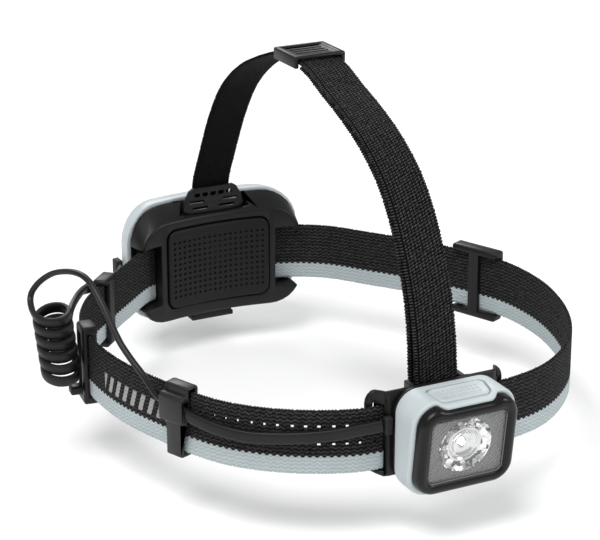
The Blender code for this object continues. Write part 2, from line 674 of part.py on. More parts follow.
def pack_pad():
    outline = rounded(PAD_WIDTH, PAD_HEIGHT, 4, (0, PAD_MIDDLE_Z))
    pad = plate("pack_pad", [outline], PAD_FACE, PACK_FRONT + 0.9, "rubber")
    return wrap(pad, 9)


def pack_rear_cover():
    """The pale domed cover, hollow, with holes for the tail light and the charging port."""
    sections = [
        pack_section(41.2, -23.4, 30.2, 16, PACK_PARTING + 1.1),
        pack_section(41.2, -23.4, 30.2, 16, 96),
        pack_section(40.4, -22.8, 29.4, 16, 101),
        pack_section(38.0, -20.4, 27.2, 15, 105),
        pack_section(34.0, -16.4, 23.4, 13, 107.2),
        pack_section(27.0, -10.0, 17.2, 9, PACK_BACK),
    ]
    piece = loft("pack_rear_cover", sections, "pale_shell", caps=False)
    wrap(piece, 12)
    shell = piece.modifiers.new("wall", "SOLIDIFY")
    shell.thickness, shell.offset = 2.0 * MM, -1
    tail = plate("tail_hole", [rounded(22.8, 8.8, 3.4, (0, TAIL_Z))], 100, 112, "steel")
    combine(piece, tail)
    return cut_box(piece, (-5.2, 94.2, -30), (5.2, 98.6, -18))


def pack_insides():
    box("battery_cell", (-27, 94.2, -14), (27, 100.4, 20), "cell_wrap", edge=1.5)
    box("charge_board", (-16, 85.8, -16), (16, 87.2, 16.6), "circuit")
    box("usb_socket", (-4.6, 94.6, -21.2), (4.6, 98.2, -15), "steel")
    ring = [rounded(76, 48, 13.6, (0, 3.3), 6), rounded(73, 45, 12.1, (0, 3.3), 6)]
    gasket = plate("pack_gasket", ring, PACK_PARTING + 0.35, PACK_PARTING + 1.4, "rubber")
    wrap(gasket, 12)


def tail_light():
    plate("tail_lens", [rounded(22, 8, 3, (0, TAIL_Z))], PACK_BACK - 2.4, PACK_BACK + 0.3,
          "red_lens", edge=0.3)
    box("tail_led", (-1.6, 103.4, TAIL_Z - 1.3), (1.6, 104.9, TAIL_Z + 1.3), "led")
    box("tail_board", (-7, 101.6, TAIL_Z - 4), (7, 103.0, TAIL_Z + 4), "circuit")


PORT_HINGE = (0.0, 101.4, -26.0)


def port_cover():
    """The rubber flap under the pack, with a plug for the charging port and a finger lip."""
    flap = box("port_cover", (-10, 86.8, -27.0), (10, 101.9, -25.0), "rubber")
    join_box(flap, (-4.4, 94.8, -25.4), (4.4, 98.0, -22.2))
    join_box(flap, (-9.2, 86.8, -25.4), (9.2, 88.4, -23.8))
    return flap


PACK_SCREWS = [(-30.5, 22.0), (30.5, 22.0), (-27.5, -16.6), (27.5, -16.6)]


def pack_screws():
    """Four screws in blind holes in the inner shell's front, outside the pad."""
    screws = []
    shell = bpy.data.objects["pack_inner_shell"]
    for i, (x, z) in enumerate(PACK_SCREWS):
        y = PACK_PARTING - x**2 / (2 * HEAD_RADIUS)
        combine(shell, rod(f"pack_hole_{i}", 1.5, 6, (x, y, z), (0, 1, 0), "steel", 12))
        screws.append(rod(f"pack_screw_{i + 1}", 1.1, 5.6, (x, y + 0.6, z), (0, 1, 0), "steel", 12))
    return screws


def pack_cable_gland():
    """The strain relief on the pack's left side."""
    outline = [(-44.9, 89.2), (-41.9, 88.6), (-41.9, 94.6), (-44.9, 93.8)]
    return plate("pack_cord_gland", [outline], -0.4, 6.4, "rubber", FROM_ABOVE)


# ---------------------------------------------------------------- cord


def cord():
    tube("cord_band_run", CORD_BAND_RUN, CORD_RADIUS, "rubber", 6)
    tube("cord_free_run", CORD_FREE_RUN, CORD_RADIUS, "rubber", 5)
    tube("cord_return", CORD_RETURN, CORD_RADIUS, "rubber", 5)
    middle = tuple((a + b) / 2 for a, b in zip(COIL_TOP, COIL_BOTTOM))
    along = Vector(COIL_TOP) - Vector(COIL_BOTTOM)
    rod("cord_coil", COIL_RADIUS, along.length, middle, along, "rubber", 24)


headband()
top_strap()
slider_right = three_bar_slider("band_slider_right", RIGHT_SLIDER, 23.4, 31.8)
three_bar_slider("band_slider_left", LEFT_SLIDER, 10)
three_bar_slider("band_keeper_left", LEFT_KEEPER, 12, 30.0)
cable_keeper()
clip = cable_clip()
crown_slider = top_slider()
top_hook()
front_bracket()
hinge_pin()
lamp_cable_gland()
lamp_pieces = [lamp_housing(), lamp_bezel(), *lens_and_optics(), lamp_back_cover(), *lamp_screws()]
lamp_pieces.append(button_switch())
button = mode_button()
pack_inner_shell()
pack_pad()
pack_rear_cover()
pack_insides()
tail_light()
flap = port_cover()
pack_screws()
pack_cable_gland()
cord()

button_top = (0, BUTTON_Y, LAMP_MIDDLE_Z + LAMP_HEIGHT / 2)
button_axis = pivot("mode_button_axis", button_top, [button])
pivot("lamp_tilt_axis", TILT_AXIS, [*lamp_pieces, button_axis])
pivot("port_cover_axis", PORT_HINGE, [flap])
pivot("top_slider_axis", (0, *CROWN_CENTRE), [crown_slider])
pivot("band_slider_axis", tuple(RIGHT_SLIDER.translation / MM), [slider_right])
pivot("cable_clip_axis", tuple(CLIP.translation / MM), [clip])
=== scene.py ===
"""The headlamp's looks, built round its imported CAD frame.

Lengths are millimetres until a mesh is made, except for the camera, the lights and the materials'
noise, which are in metres.
"""
import json
import math

import bmesh
import bpy
import numpy as np
from mathutils import Matrix, Vector


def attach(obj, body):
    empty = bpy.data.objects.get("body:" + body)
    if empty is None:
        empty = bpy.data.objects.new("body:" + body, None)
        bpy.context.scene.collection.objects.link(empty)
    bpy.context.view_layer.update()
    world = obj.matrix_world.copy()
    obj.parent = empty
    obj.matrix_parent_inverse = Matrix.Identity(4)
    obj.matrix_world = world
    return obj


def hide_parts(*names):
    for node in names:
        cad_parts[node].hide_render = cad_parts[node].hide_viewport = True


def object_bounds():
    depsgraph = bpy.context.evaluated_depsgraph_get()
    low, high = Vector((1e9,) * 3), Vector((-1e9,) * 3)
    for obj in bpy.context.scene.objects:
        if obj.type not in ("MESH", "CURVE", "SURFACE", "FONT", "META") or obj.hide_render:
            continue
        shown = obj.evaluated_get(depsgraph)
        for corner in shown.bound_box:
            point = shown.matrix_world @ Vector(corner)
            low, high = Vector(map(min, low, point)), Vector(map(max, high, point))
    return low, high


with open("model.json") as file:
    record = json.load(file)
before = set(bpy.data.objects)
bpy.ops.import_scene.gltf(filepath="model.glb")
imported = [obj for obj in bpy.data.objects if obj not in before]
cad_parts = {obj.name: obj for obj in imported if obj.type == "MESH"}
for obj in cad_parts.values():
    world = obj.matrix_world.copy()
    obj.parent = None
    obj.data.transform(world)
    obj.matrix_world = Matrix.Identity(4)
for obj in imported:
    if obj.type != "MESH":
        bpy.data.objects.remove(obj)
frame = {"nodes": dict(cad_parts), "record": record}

cad_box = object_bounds()
MM = 0.001
TURN = 2 * math.pi

# Sizes shared with the frame
BAND_WIDTH, BAND_THICK, STRIPE_TOP = 25.0, 1.4, -5.6
TOP_WIDTH, TOP_THICK = 17.6, 1.3
CORD_WIDTH, CORD_THICK = 4.6, 2.3
COIL_RADIUS, COIL_TURNS, TURN_POINTS = 7.8, 5.6, 28
COIL_START = math.radians(48)
COIL_TILT = Vector((0.17, 0.26, -0.95)).normalized()  # square to the plane each turn lies in
COIL_JOIN = 4  # how many of the coil's points at each end give way to a smooth join
CORD_LEAN = Vector((0.45, 0.83, -0.33))  # the way that the flat side of the free cord runs across
FACE_CENTRE, FACE_TILT = (0.0, -131.8, -0.2), math.radians(7.4)
LAMP_WIDTH, LAMP_HEIGHT, LAMP_RADIUS, LAMP_MIDDLE_Z = 42.8, 39.0, 9.0, 0.3
LAMP_BACK = -115.4
FRONT_DEPTH = 3.6  # from the face back to the front of the housing
LIP_HALF_WIDTH, LIP_FADE, LIP_REACH, LIP_DROP = 12.9, 3.2, 2.3, 1.7  # the lip over the bezel
FRONT_ROUND, BACK_ROUND, WALL = 1.3, 1.9, 3.2  # the housing's edge radii, and its wall
BEZEL_HALF, WINDOW_HALF = (20.2, 17.7), (15.5, 12.7)
BEZEL_RADIUS, WINDOW_RADIUS = 8, 2.6
FACE = Matrix.Translation(Vector(FACE_CENTRE)) @ Matrix.Rotation(FACE_TILT, 4, "X")
BUTTON = Matrix.Translation((0, -125.4, 19.15)) @ Matrix.Rotation(math.radians(7), 4, "X")

# The band's middle line seen from above, from the left slider round the front to the right one
BAND_FRONT = [
    (-92.0, 4.8), (-92.7, -4), (-92.6, -15), (-91.3, -28), (-88.7, -40.5), (-85.0, -52.5),
    (-80.4, -66), (-73.2, -80.4), (-64, -91.2), (-54.5, -98.8), (-44.5, -104.6), (-34, -108.8),
    (-27, -110), (-20, -110.4), (-12, -110.4), (12, -110.4), (20, -110.4), (27, -110.2), (33, -109.6),
    (44, -107), (54, -102.4), (64.5, -94.8), (75, -84.2), (84, -71), (90.5, -57.5), (95, -44),
    (97.8, -31), (98.6, -18), (97.8, -6), (95.6, 3), (92.2, 11),
]
BAND_REAR_LEFT = [
    (-91.9, 5.3), (-90.2, 12.6), (-86.6, 24), (-78.4, 38.2), (-69, 48.4), (-57.5, 60), (-48, 69.2),
    (-39.4, 77.6), (-33.4, 82.8), (-28.7, 85.4),
]
BAND_REAR_RIGHT = [
    (92, 11.5), (88.6, 19.5), (83.6, 29), (74.2, 44.2), (63.8, 58.2), (53.4, 72.2), (44.5, 79.4),
    (36, 83.8), (28.9, 86.2),
]
CROWN_CENTRE, CROWN_RADIUS = (-7.5, 54.9), 61.0
TOP_FRONT = [
    (-35, 109.3), (-50, 104), (-65, 97.2), (-79, 87.8), (-88.5, 77.4), (-95.8, 65.6), (-102, 51.6),
    (-105.3, 41), (-107.4, 30.4), (-108.5, 21),
]
TOP_REAR = [
    (21, 109.4), (35, 103.4), (48.6, 95), (59.6, 85), (69.4, 71.4), (75.8, 60), (81, 50),
    (85.4, 41.6), (87.4, 35.8), (87.8, 30.8),
]
STRAP_BAR = (-106.7, 15.5, 1.6)

# The webbing's knit
KNIT_PERIOD, KNIT_SWING, KNIT_ROW = 2.6, 0.7, 1.5  # the headband's zigzag rows
STITCH_COLUMN, STITCH_ROW, STITCH_SLANT = 1.5, 1.15, 0.75  # the top strap's stitches
KNIT_RELIEF = 0.05
CELL_ALONG, CELL_ACROSS = 0.6, 0.44  # the mesh of a strip
TOOTH, TOOTH_PERIOD, RIM_THINNING = 0.22, 1.3, 0.35  # its scalloped and thinner edges
HOLE_CELLS, HOLE_PITCH = (2, 3), 5.0  # how many cells a punched hole takes, and how far apart holes are
SLANTING_BARS = (22, 62)  # where the plain row of bars starts and ends along the front band

# The cord's route before and after its coil, and the points where it leaves and meets the band
CORD_BEFORE = [
    (-25.6, -114.8, 6.6), (-31.4, -112.7, 5.7), (-40.2, -109.9, 4.4), (-47.6, -106.4, 3.4),
    (-54.4, -102.6, 2.8), (-61.8, -97.5, 2.2), (-68.6, -91.6, 1.9), (-75.2, -83.8, 2.6),
    (-80.6, -74.8, 4.0), (-83.9, -66.0, 5.6), (-86.9, -58.6, 6.4),
    (-89.4, -55.2, 10.4), (-91.4, -52.0, 15.0), (-93.6, -46.6, 19.4),
    (-95.5, -40.4, 24.4), (-96.7, -35.5, 29.8), (-97.7, -30.6, 35.4), (-98.8, -25.0, 40.6),
    (-99.7, -19.5, 43.4), (-100.7, -13.5, 43.9), (-102.4, -6.4, 42.8), (-105.2, 1.2, 40.2),
    (-108.2, 6.4, 36.4), (-110.9, 9.2, 32.2), (-112.6, 9.4, 28.0),
]
COIL_TOP, COIL_BOTTOM = (-107.0, 2.9, 27.6), (-105.7, -4.1, -2.0)
CORD_AFTER = [
    (-97.6, 3.4, 3.6), (-96.6, 9.4, 8.2), (-94.6, 16.4, 11.4), (-90.4, 25.4, 13.4),
    (-84.6, 35.0, 14.0), (-78.2, 45.4, 12.6), (-73.6, 52.2, 11.0), (-66.2, 59.4, 8.6),
    (-59.6, 66.6, 6.2), (-53.0, 74.4, 4.4), (-47.2, 81.4, 3.4), (-43.7, 87.3, 3.0),
]
LIFT_OFF, LANDING = CORD_BEFORE[10], CORD_AFTER[6]

# The camera and the lights, in metres
CAMERA_PLACE, CAMERA_LENS = (-0.3599, -0.7065, 0.3161), 124.6
CAMERA_PITCH, CAMERA_YAW = math.radians(69.79), math.radians(-26.98)
FLOOR_GAP = 0.012  # between the object's lowest point and the floor
LIGHTS = (  # each one's name, place, the height it aims at, its size and its power in watts
    ("key", (-0.7, -0.5, 1.4), 0.02, 0.9, 20),
    ("fill", (1.1, -0.9, 0.9), 0.02, 0.7, 9),
    ("rim", (0.3, 1.3, 0.9), 0.05, 0.6, 8),
)


# ---------------------------------------------------------------- camera, floor and light


def camera():
    """The scene camera: its place, its aim and its lens."""
    data = bpy.data.cameras.new("camera")
    data.lens, data.sensor_width, data.clip_start = CAMERA_LENS, 36, 0.01
    holder = bpy.data.objects.new("camera", data)
    holder.location = CAMERA_PLACE
    holder.rotation_euler = (CAMERA_PITCH, 0, CAMERA_YAW)
    bpy.context.scene.collection.objects.link(holder)
    bpy.context.scene.camera = holder


def area_light(name, place, target, size, watts):
    """A round soft light that faces its target."""
    data = bpy.data.lights.new(name, "AREA")
    data.shape, data.size, data.energy = "DISK", size, watts
    holder = bpy.data.objects.new(name, data)
    holder.location = place
    aim = Vector(target) - Vector(place)
    holder.rotation_euler = aim.to_track_quat("-Z", "Y").to_euler()
    bpy.context.scene.collection.objects.link(holder)


def studio():
    """A plain pale floor under the headlamp, a pale world, and three soft lights."""
    work = bmesh.new()
    bmesh.ops.create_grid(work, x_segments=1, y_segments=1, size=6)
    mesh = bpy.data.meshes.new("floor")
    work.to_mesh(mesh)
    work.free()
    floor = bpy.data.objects.new("floor", mesh)
    floor.location = (0, 0, cad_box[0][2] - FLOOR_GAP)
    paint = bpy.data.materials.new("floor")
    paint.use_nodes = True
    shader = paint.node_tree.nodes["Principled BSDF"]
    shader.inputs["Base Color"].default_value = (0.96, 0.96, 0.96, 1)
    shader.inputs["Roughness"].default_value = 0.9
    mesh.materials.append(paint)
    bpy.context.scene.collection.objects.link(floor)
    world = bpy.data.worlds.new("studio")
    world.use_nodes = True
    world.node_tree.nodes["Background"].inputs["Color"].default_value = (1, 1, 1, 1)
    world.node_tree.nodes["Background"].inputs["Strength"].default_value = 0.40
    bpy.context.scene.world = world
    for name, place, aim_height, size, watts in LIGHTS:
        area_light(name, place, (0, 0, aim_height), size, watts)
    bpy.context.scene.view_settings.view_transform = "Standard"


# ---------------------------------------------------------------- shapes


def smooth(route, step):
    """Points about step apart on a smooth curve through the route's points."""
    points = [Vector(p) for p in route]
    ends = [2 * points[0] - points[1], *points, 2 * points[-1] - points[-2]]
    line = []
    for a, b, c, d in zip(ends, ends[1:], ends[2:], ends[3:]):
        count = max(1, round((c - b).length / step))
        for i in range(count):
            t = i / count
            line.append(0.5 * (2 * b + (c - a) * t + (2 * a - 5 * b + 4 * c - d) * t**2
                               + (3 * b - a - 3 * c + d) * t**3))
    return line + [points[-1]]


def even(line, step, sized=3):
    """The line again, with its points the same distance apart; the first columns are the place."""
    points = np.array([tuple(p) for p in line])
    along = np.concatenate([[0], np.cumsum(np.linalg.norm(np.diff(points[:, :sized], axis=0), axis=1))])
    count = max(2, round(along[-1] / step) + 1)
    places = np.linspace(0, along[-1], count)
    return places, np.stack([np.interp(places, along, points[:, k]) for k in range(points.shape[1])], 1)


def show(name, mesh, material, body="root", stands_for=(), slot=None, angle=35):
    """Makes a mesh a piece of the object, which rides on a body and hides the nodes it stands for."""
    piece = bpy.data.objects.new(name, mesh)
    bpy.context.scene.collection.objects.link(piece)
    mesh.materials.clear()
    mesh.materials.append(material)
    mesh.shade_smooth()
    mesh.set_sharp_from_angle(angle=math.radians(angle))
    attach(piece, body)
    if stands_for:
        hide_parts(*stands_for)
    return piece


def mesh_from(name, points, faces):
    """A mesh in metres from points in millimetres."""
    mesh = bpy.data.meshes.new(name)
    mesh.from_pydata([(x * MM, y * MM, z * MM) for x, y, z in points], [], faces)
    mesh.validate()
    mesh.update()
    return mesh


def tube_mesh(name, path, normals, width, thick):
    """A tube of flat oval section along a path, its thin side along the normals."""
    count, sides = len(path), 14
    points, faces = [], []
    for i in range(count):
        ahead, behind = path[min(i + 1, count - 1)], path[max(i - 1, 0)]
        along = (ahead - behind).normalized()
        normal = (normals[i] - along * normals[i].dot(along)).normalized()
        across = along.cross(normal)
        for k in range(sides):
            a = TURN * k / sides
            c, s = math.cos(a), math.sin(a)
            u = width / 2 * math.copysign(abs(c) ** 0.55, c)
            v = thick / 2 * math.copysign(abs(s) ** 0.75, s)
            points.append(path[i] + across * u + normal * v)
    for i in range(count - 1):
        for k in range(sides):
            j = (k + 1) % sides
            faces.append((i * sides + k, i * sides + j, (i + 1) * sides + j, (i + 1) * sides + k))
    faces.append(tuple(range(sides))[::-1])
    last = (count - 1) * sides
    faces.append(tuple(last + k for k in range(sides)))
    return mesh_from(name, points, faces)


def outward_mesh(mesh):
    """The mesh, with all its faces turned to face outwards."""
    work = bmesh.new()
    work.from_mesh(mesh)
    bmesh.ops.recalc_face_normals(work, faces=work.faces)
    work.to_mesh(mesh)
    work.free()
    return mesh


# ---------------------------------------------------------------- cord


def coil_turns(top, axis, length):
    """The points of the coil's middle line, from its top end down."""
    side = Vector((-1, 0, 0))
    side = (side - COIL_TILT * side.dot(COIL_TILT)).normalized()
    other = COIL_TILT.cross(side)
    radius, margin = COIL_RADIUS - CORD_THICK / 2, CORD_WIDTH / 2
    steps = int(COIL_TURNS * TURN_POINTS)
    turns = []
    for i in range(steps + 1):
        a = COIL_START - TURN * COIL_TURNS * i / steps
        centre = top + axis * (margin + (length - 2 * margin) * i / steps)
        turns.append(centre + radius * (side * math.cos(a) + other * math.sin(a)))
    return turns


def index_of(line, point):
    """The place in the line of its nearest point to this one."""
    return min(range(len(line)), key=lambda i: (line[i] - Vector(point)).length)


def cord_path():
    """The cord's middle line and the direction of its thin side, along its whole length."""
    top, bottom = Vector(COIL_TOP), Vector(COIL_BOTTOM)
    axis = (bottom - top).normalized()
    coil = coil_turns(top, axis, (bottom - top).length)
    first, last = coil[COIL_JOIN], coil[-COIL_JOIN]
    before = smooth([*CORD_BEFORE, first, coil[COIL_JOIN + 5]], 2.0)
    before = before[:index_of(before, first)]
    after = smooth([coil[-2 * COIL_JOIN], last, *CORD_AFTER], 2.0)
    after = after[index_of(after, last):]
    lift, landing = index_of(before, LIFT_OFF), index_of(after, LANDING)
    # Each row is a point and whether it lies on the band, hangs free, or is in the coil
    rows = [(*p, *((1, 0, 0) if i < lift else (0, 1, 0))) for i, p in enumerate(before)]
    rows += [(*p, 0, 0, 1) for p in coil[COIL_JOIN:-COIL_JOIN]]
    rows += [(*p, *((0, 1, 0) if i < landing else (1, 0, 0))) for i, p in enumerate(after)]
    _, spots = even(rows, 1.5)
    path = [Vector(row[:3]) for row in spots]
    normals = []
    for i, (p, row) in enumerate(zip(path, spots)):
        along = path[min(i + 1, len(path) - 1)] - path[max(i - 1, 0)]
        on_axis = top + axis * ((p - top).dot(COIL_TILT) / axis.dot(COIL_TILT))
        outward = Vector((p.x, p.y, 0))
        previous = normals[-1] if normals else outward
        total = Vector()
        for share, normal in zip(row[3:], (outward, along.cross(CORD_LEAN), p - on_axis)):
            total += normal.normalized() * share * math.copysign(1, normal.dot(previous))
        normals.append(total.normalized())
    for _ in range(6):  # rounds of smoothing, so that the flat side turns gently
        normals = [
            (normals[max(i - 1, 0)] + n * 2 + normals[min(i + 1, len(normals) - 1)]).normalized()
            for i, n in enumerate(normals)
        ]
    return path, normals


def cord():
    """The cord as one piece, from the lamp's gland along the band and through the coil to the pack."""
    path, normals = cord_path()
    mesh = outward_mesh(tube_mesh("cord", path, normals, CORD_WIDTH, CORD_THICK))
    nodes = ("cord_band_run", "cord_free_run", "cord_coil", "cord_return")
    piece = show("lamp_cord", mesh, rubber("cord_rubber", 0.007, 0.42), "root", nodes, "rubber")
    length = sum((b - a).length for a, b in zip(path, path[1:])) * MM
    [tuple(p * MM) for p in path]


# ---------------------------------------------------------------- materials


class Nodes:
    """A material's node tree, with short calls for the nodes that the materials here use."""

    def __init__(self, name, colour, roughness, metallic=0.0):
        self.material = bpy.data.materials.new(name)
        self.material.use_nodes = True
        self.tree = self.material.node_tree
        self.shader = self.tree.nodes["Principled BSDF"]
        self.shader.inputs["Base Color"].default_value = (*colour, 1)
        self.shader.inputs["Roughness"].default_value = roughness
        self.shader.inputs["Metallic"].default_value = metallic

    def link(self, source, target):
        if isinstance(source, (int, float)):
            target.default_value = source
        else:
            self.tree.links.new(source, target)

    def math(self, operation, a, b=0.0, c=0.0):
        node = self.tree.nodes.new("ShaderNodeMath")
        node.operation = operation
        for value, socket in zip((a, b, c), node.inputs):
            self.link(value, socket)
        return node.outputs[0]

    def spot(self):
        """The place on the object, in metres."""
        return self.tree.nodes.new("ShaderNodeTexCoord").outputs["Object"]

    def uv(self):
        """The place along and across a strip of webbing, in millimetres."""
        node = self.tree.nodes.new("ShaderNodeUVMap")
        node.uv_map = "weave"
        split = self.tree.nodes.new("ShaderNodeSeparateXYZ")
        self.link(node.outputs[0], split.inputs[0])
        return split.outputs[0], split.outputs[1]

    def noise(self, scale, detail):
        node = self.tree.nodes.new("ShaderNodeTexNoise")
        node.inputs["Scale"].default_value = scale
        node.inputs["Detail"].default_value = detail
        self.link(self.spot(), node.inputs["Vector"])
        return node.outputs["Fac"]

    def cells(self, scale):
        """A Voronoi node, for its Distance or Color."""
        node = self.tree.nodes.new("ShaderNodeTexVoronoi")
        node.inputs["Scale"].default_value = scale
        self.link(self.spot(), node.inputs["Vector"])
        return node

    def wave(self, value, period):
        """A sine that repeats once a period."""
        return self.math("SINE", self.math("MULTIPLY", value, TURN / period))

    def zigzag(self, value, period):
        """A straight rise from 0 to 1 and back, once a period."""
        return self.math("PINGPONG", self.math("DIVIDE", value, period / 2), 1.0)

    def ramp(self, value, low, high, start=0.3, end=0.7):
        """A colour between low and high."""
        node = self.tree.nodes.new("ShaderNodeValToRGB")
        node.color_ramp.elements[0].position = start
        node.color_ramp.elements[0].color = (*low, 1)
        node.color_ramp.elements[1].position = end
        node.color_ramp.elements[1].color = (*high, 1)
        self.link(value, node.inputs[0])
        return node.outputs[0]

    def mix(self, amount, a, b):
        node = self.tree.nodes.new("ShaderNodeMix")
        node.data_type = "RGBA"
        self.link(amount, node.inputs[0])
        self.link(a, node.inputs[6])
        self.link(b, node.inputs[7])
        return node.outputs[2]

    def between(self, value, low, high):
        """1 where value lies between low and high, 0 elsewhere."""
        above, below = self.math("GREATER_THAN", value, low), self.math("LESS_THAN", value, high)
        return self.math("MULTIPLY", above, below)

    def colour(self, value):
        self.link(value, self.shader.inputs["Base Color"])

    def roughness(self, value, low, high):
        node = self.tree.nodes.new("ShaderNodeMapRange")
        node.inputs["To Min"].default_value, node.inputs["To Max"].default_value = low, high
        self.link(value, node.inputs["Value"])
        self.link(node.outputs[0], self.shader.inputs["Roughness"])

    def bump(self, height, distance, strength):
        node = self.tree.nodes.new("ShaderNodeBump")
        node.inputs["Distance"].default_value = distance
        node.inputs["Strength"].default_value = strength
        self.link(height, node.inputs["Height"])
        self.link(node.outputs[0], self.shader.inputs["Normal"])

    def set(self, **values):
        """Values that are the same all over the surface, by the first words of their sockets."""
        names = {
            "specular": "Specular IOR Level", "sheen": "Sheen Weight", "sheen_roughness": "Sheen Roughness",
            "coat": "Coat Weight", "coat_roughness": "Coat Roughness", "alpha": "Alpha",
            "glow": "Emission Strength",
        }
        for key, value in values.items():
            self.shader.inputs[names[key]].default_value = value


def scaled(colour, factor):
    return tuple(c * factor for c in colour)


def plastic(name, colour, roughness, spread=0.12, coat=0.0):
    """Moulded plastic: slight colour drift, a fine moulded grain, and uneven gloss from handling."""
    nodes = Nodes(name, colour, roughness)
    drift = nodes.noise(45, 4)
    nodes.colour(nodes.ramp(drift, scaled(colour, 1 - spread), scaled(colour, 1 + spread), 0.35, 0.65))
    nodes.roughness(nodes.noise(90, 5), roughness - 0.07, roughness + 0.09)
    nodes.bump(nodes.cells(1800).outputs["Distance"], 0.00003, 0.35)
    nodes.set(specular=0.28, coat=coat, coat_roughness=0.3)
    return nodes.material


def rubber(name, value, roughness):
    """Dull grey or black rubber with a soft, uneven skin."""
    nodes = Nodes(name, (value, value, value * 1.04), roughness)
    drift = nodes.noise(60, 4)
    low, high = (value * 0.8,) * 3, (value * 1.25,) * 3
    nodes.colour(nodes.ramp(drift, low, high, 0.35, 0.65))
    nodes.roughness(nodes.noise(120, 5), roughness - 0.06, roughness + 0.1)
    nodes.bump(nodes.noise(2600, 2), 0.00004, 0.3)
    nodes.set(specular=0.3)
    return nodes.material


def metal(name, colour, roughness):
    """Metal with slightly cloudy colour and gloss."""
    nodes = Nodes(name, colour, roughness, 1.0)
    nodes.colour(nodes.ramp(nodes.noise(140, 4), scaled(colour, 0.85), scaled(colour, 1.1)))
    nodes.roughness(nodes.noise(400, 4), roughness - 0.06, roughness + 0.1)
    nodes.bump(nodes.noise(3000, 2), 0.00001, 0.3)
    return nodes.material


def knit_band(name, marks=()):
    """Knitted elastic: black above and pale grey below, with a scalloped border between them.

    marks gives the stretch, along the band, of a plain woven-in row of slanting bars, if any.
    """
    nodes = Nodes(name, (0.02, 0.02, 0.02), 0.85)
    u, v = nodes.uv()
    # Rows of stitches that zigzag along the band, and the slanting threads in each
    swing = nodes.zigzag(u, KNIT_PERIOD)
    wander = nodes.math("MULTIPLY_ADD", nodes.noise(700, 2), 1.2, nodes.math("MULTIPLY", swing, KNIT_SWING))
    rows = nodes.wave(nodes.math("ADD", v, wander), KNIT_ROW)
    threads = nodes.wave(nodes.math("MULTIPLY_ADD", v, 0.45, u), 0.6)
    fibre, uneven = nodes.noise(5200, 3), nodes.noise(1100, 2)
    relief = nodes.math("ADD", nodes.math("MULTIPLY", rows, 0.5), nodes.math("MULTIPLY", threads, 0.3))
    relief = nodes.math("ADD", relief, nodes.math("MULTIPLY", fibre, 0.5))
    # The colour follows the relief, lighter on the raised rows and threads and darker between them: painted
    # highlight and painted shade
    shade = nodes.math("MULTIPLY_ADD", relief, 0.45, 0.35)
    patchy = nodes.math("MULTIPLY", shade, nodes.math("MULTIPLY_ADD", uneven, 1.3, 0.2))
    dark = nodes.ramp(patchy, (0.002, 0.002, 0.0022), (0.085, 0.085, 0.088), 0.2, 1.0)
    pale = nodes.ramp(shade, (0.33, 0.38, 0.39), (0.62, 0.69, 0.71), 0.0, 1.0)
    border = nodes.math("MULTIPLY_ADD", swing, 0.85, STRIPE_TOP - 0.4)
    colour = nodes.mix(nodes.math("LESS_THAN", v, border), dark, pale)
    if marks:
        lean = nodes.math("MULTIPLY_ADD", v, -0.35, u)
        bars = nodes.math("LESS_THAN", nodes.math("FRACT", nodes.math("DIVIDE", lean, 5.2)), 0.46)
        inside = nodes.math("MULTIPLY", nodes.between(u, *marks), nodes.between(v, -3.2, 3.6))
        grey = nodes.ramp(shade, (0.25,) * 3, (0.5,) * 3, 0.0, 1.0)
        colour = nodes.mix(nodes.math("MULTIPLY", bars, inside), colour, grey)
    nodes.colour(colour)
    nodes.bump(relief, 0.00022, 0.8)
    nodes.set(specular=0.07, sheen=0.012, sheen_roughness=0.5)
    return nodes.material


def knit_top(name, low, high):
    """The top strap's knit: columns of short slanting stitches, each column half a stitch on."""
    nodes = Nodes(name, (0.02, 0.02, 0.02), 0.8)
    u, v = nodes.uv()
    column = nodes.math("DIVIDE", v, STITCH_COLUMN)
    across = nodes.math("ABSOLUTE", nodes.math("MULTIPLY_ADD", nodes.math("FRACT", column), 2.0, -1.0))
    odd = nodes.math("MULTIPLY", nodes.math("MODULO", nodes.math("FLOOR", column), 2.0), 0.5)
    slant = nodes.math("MULTIPLY_ADD", nodes.math("FRACT", column), STITCH_SLANT, odd)
    slant = nodes.math("MULTIPLY_ADD", nodes.noise(600, 2), 1.1, slant)
    phase = nodes.math("ADD", nodes.math("DIVIDE", u, STITCH_ROW), slant)
    stitch = nodes.math("COSINE", nodes.math("MULTIPLY", phase, TURN))
    stitch = nodes.math("MULTIPLY_ADD", stitch, 0.5, 0.5)
    bead = nodes.math("MULTIPLY", stitch, nodes.math("SUBTRACT", 1.0, nodes.math("POWER", across, 3.0)))
    # A selvedge of short bars beside one edge, with a dark line where it joins
    bars = nodes.math("MULTIPLY_ADD", nodes.wave(u, 1.1), 0.5, 0.4)
    selvedge = nodes.math("LESS_THAN", v, -7.5)
    bead = nodes.math("MULTIPLY_ADD", selvedge, nodes.math("SUBTRACT", bars, bead), bead)
    seam = nodes.between(v, -7.8, -7.0)
    fibre, uneven = nodes.noise(5200, 3), nodes.noise(900, 2)
    relief = nodes.math("ADD", nodes.math("MULTIPLY", bead, 0.8), nodes.math("MULTIPLY", fibre, 0.5))
    shade = nodes.math("MULTIPLY", nodes.math("MULTIPLY_ADD", uneven, 1.2, 0.15), relief)
    shade = nodes.math("MULTIPLY", nodes.math("MULTIPLY_ADD", seam, -0.85, 1.0), shade)
    # The colour follows the stitches' relief, lighter on the raised stitches and darker between them:
    # painted highlight and painted shade
    nodes.colour(nodes.ramp(shade, low, high, 0.3, 0.9))
    nodes.bump(relief, 0.0003, 0.9)
    nodes.set(specular=0.07, sheen=0.012, sheen_roughness=0.5)
    return nodes.material


# ---------------------------------------------------------------- webbing


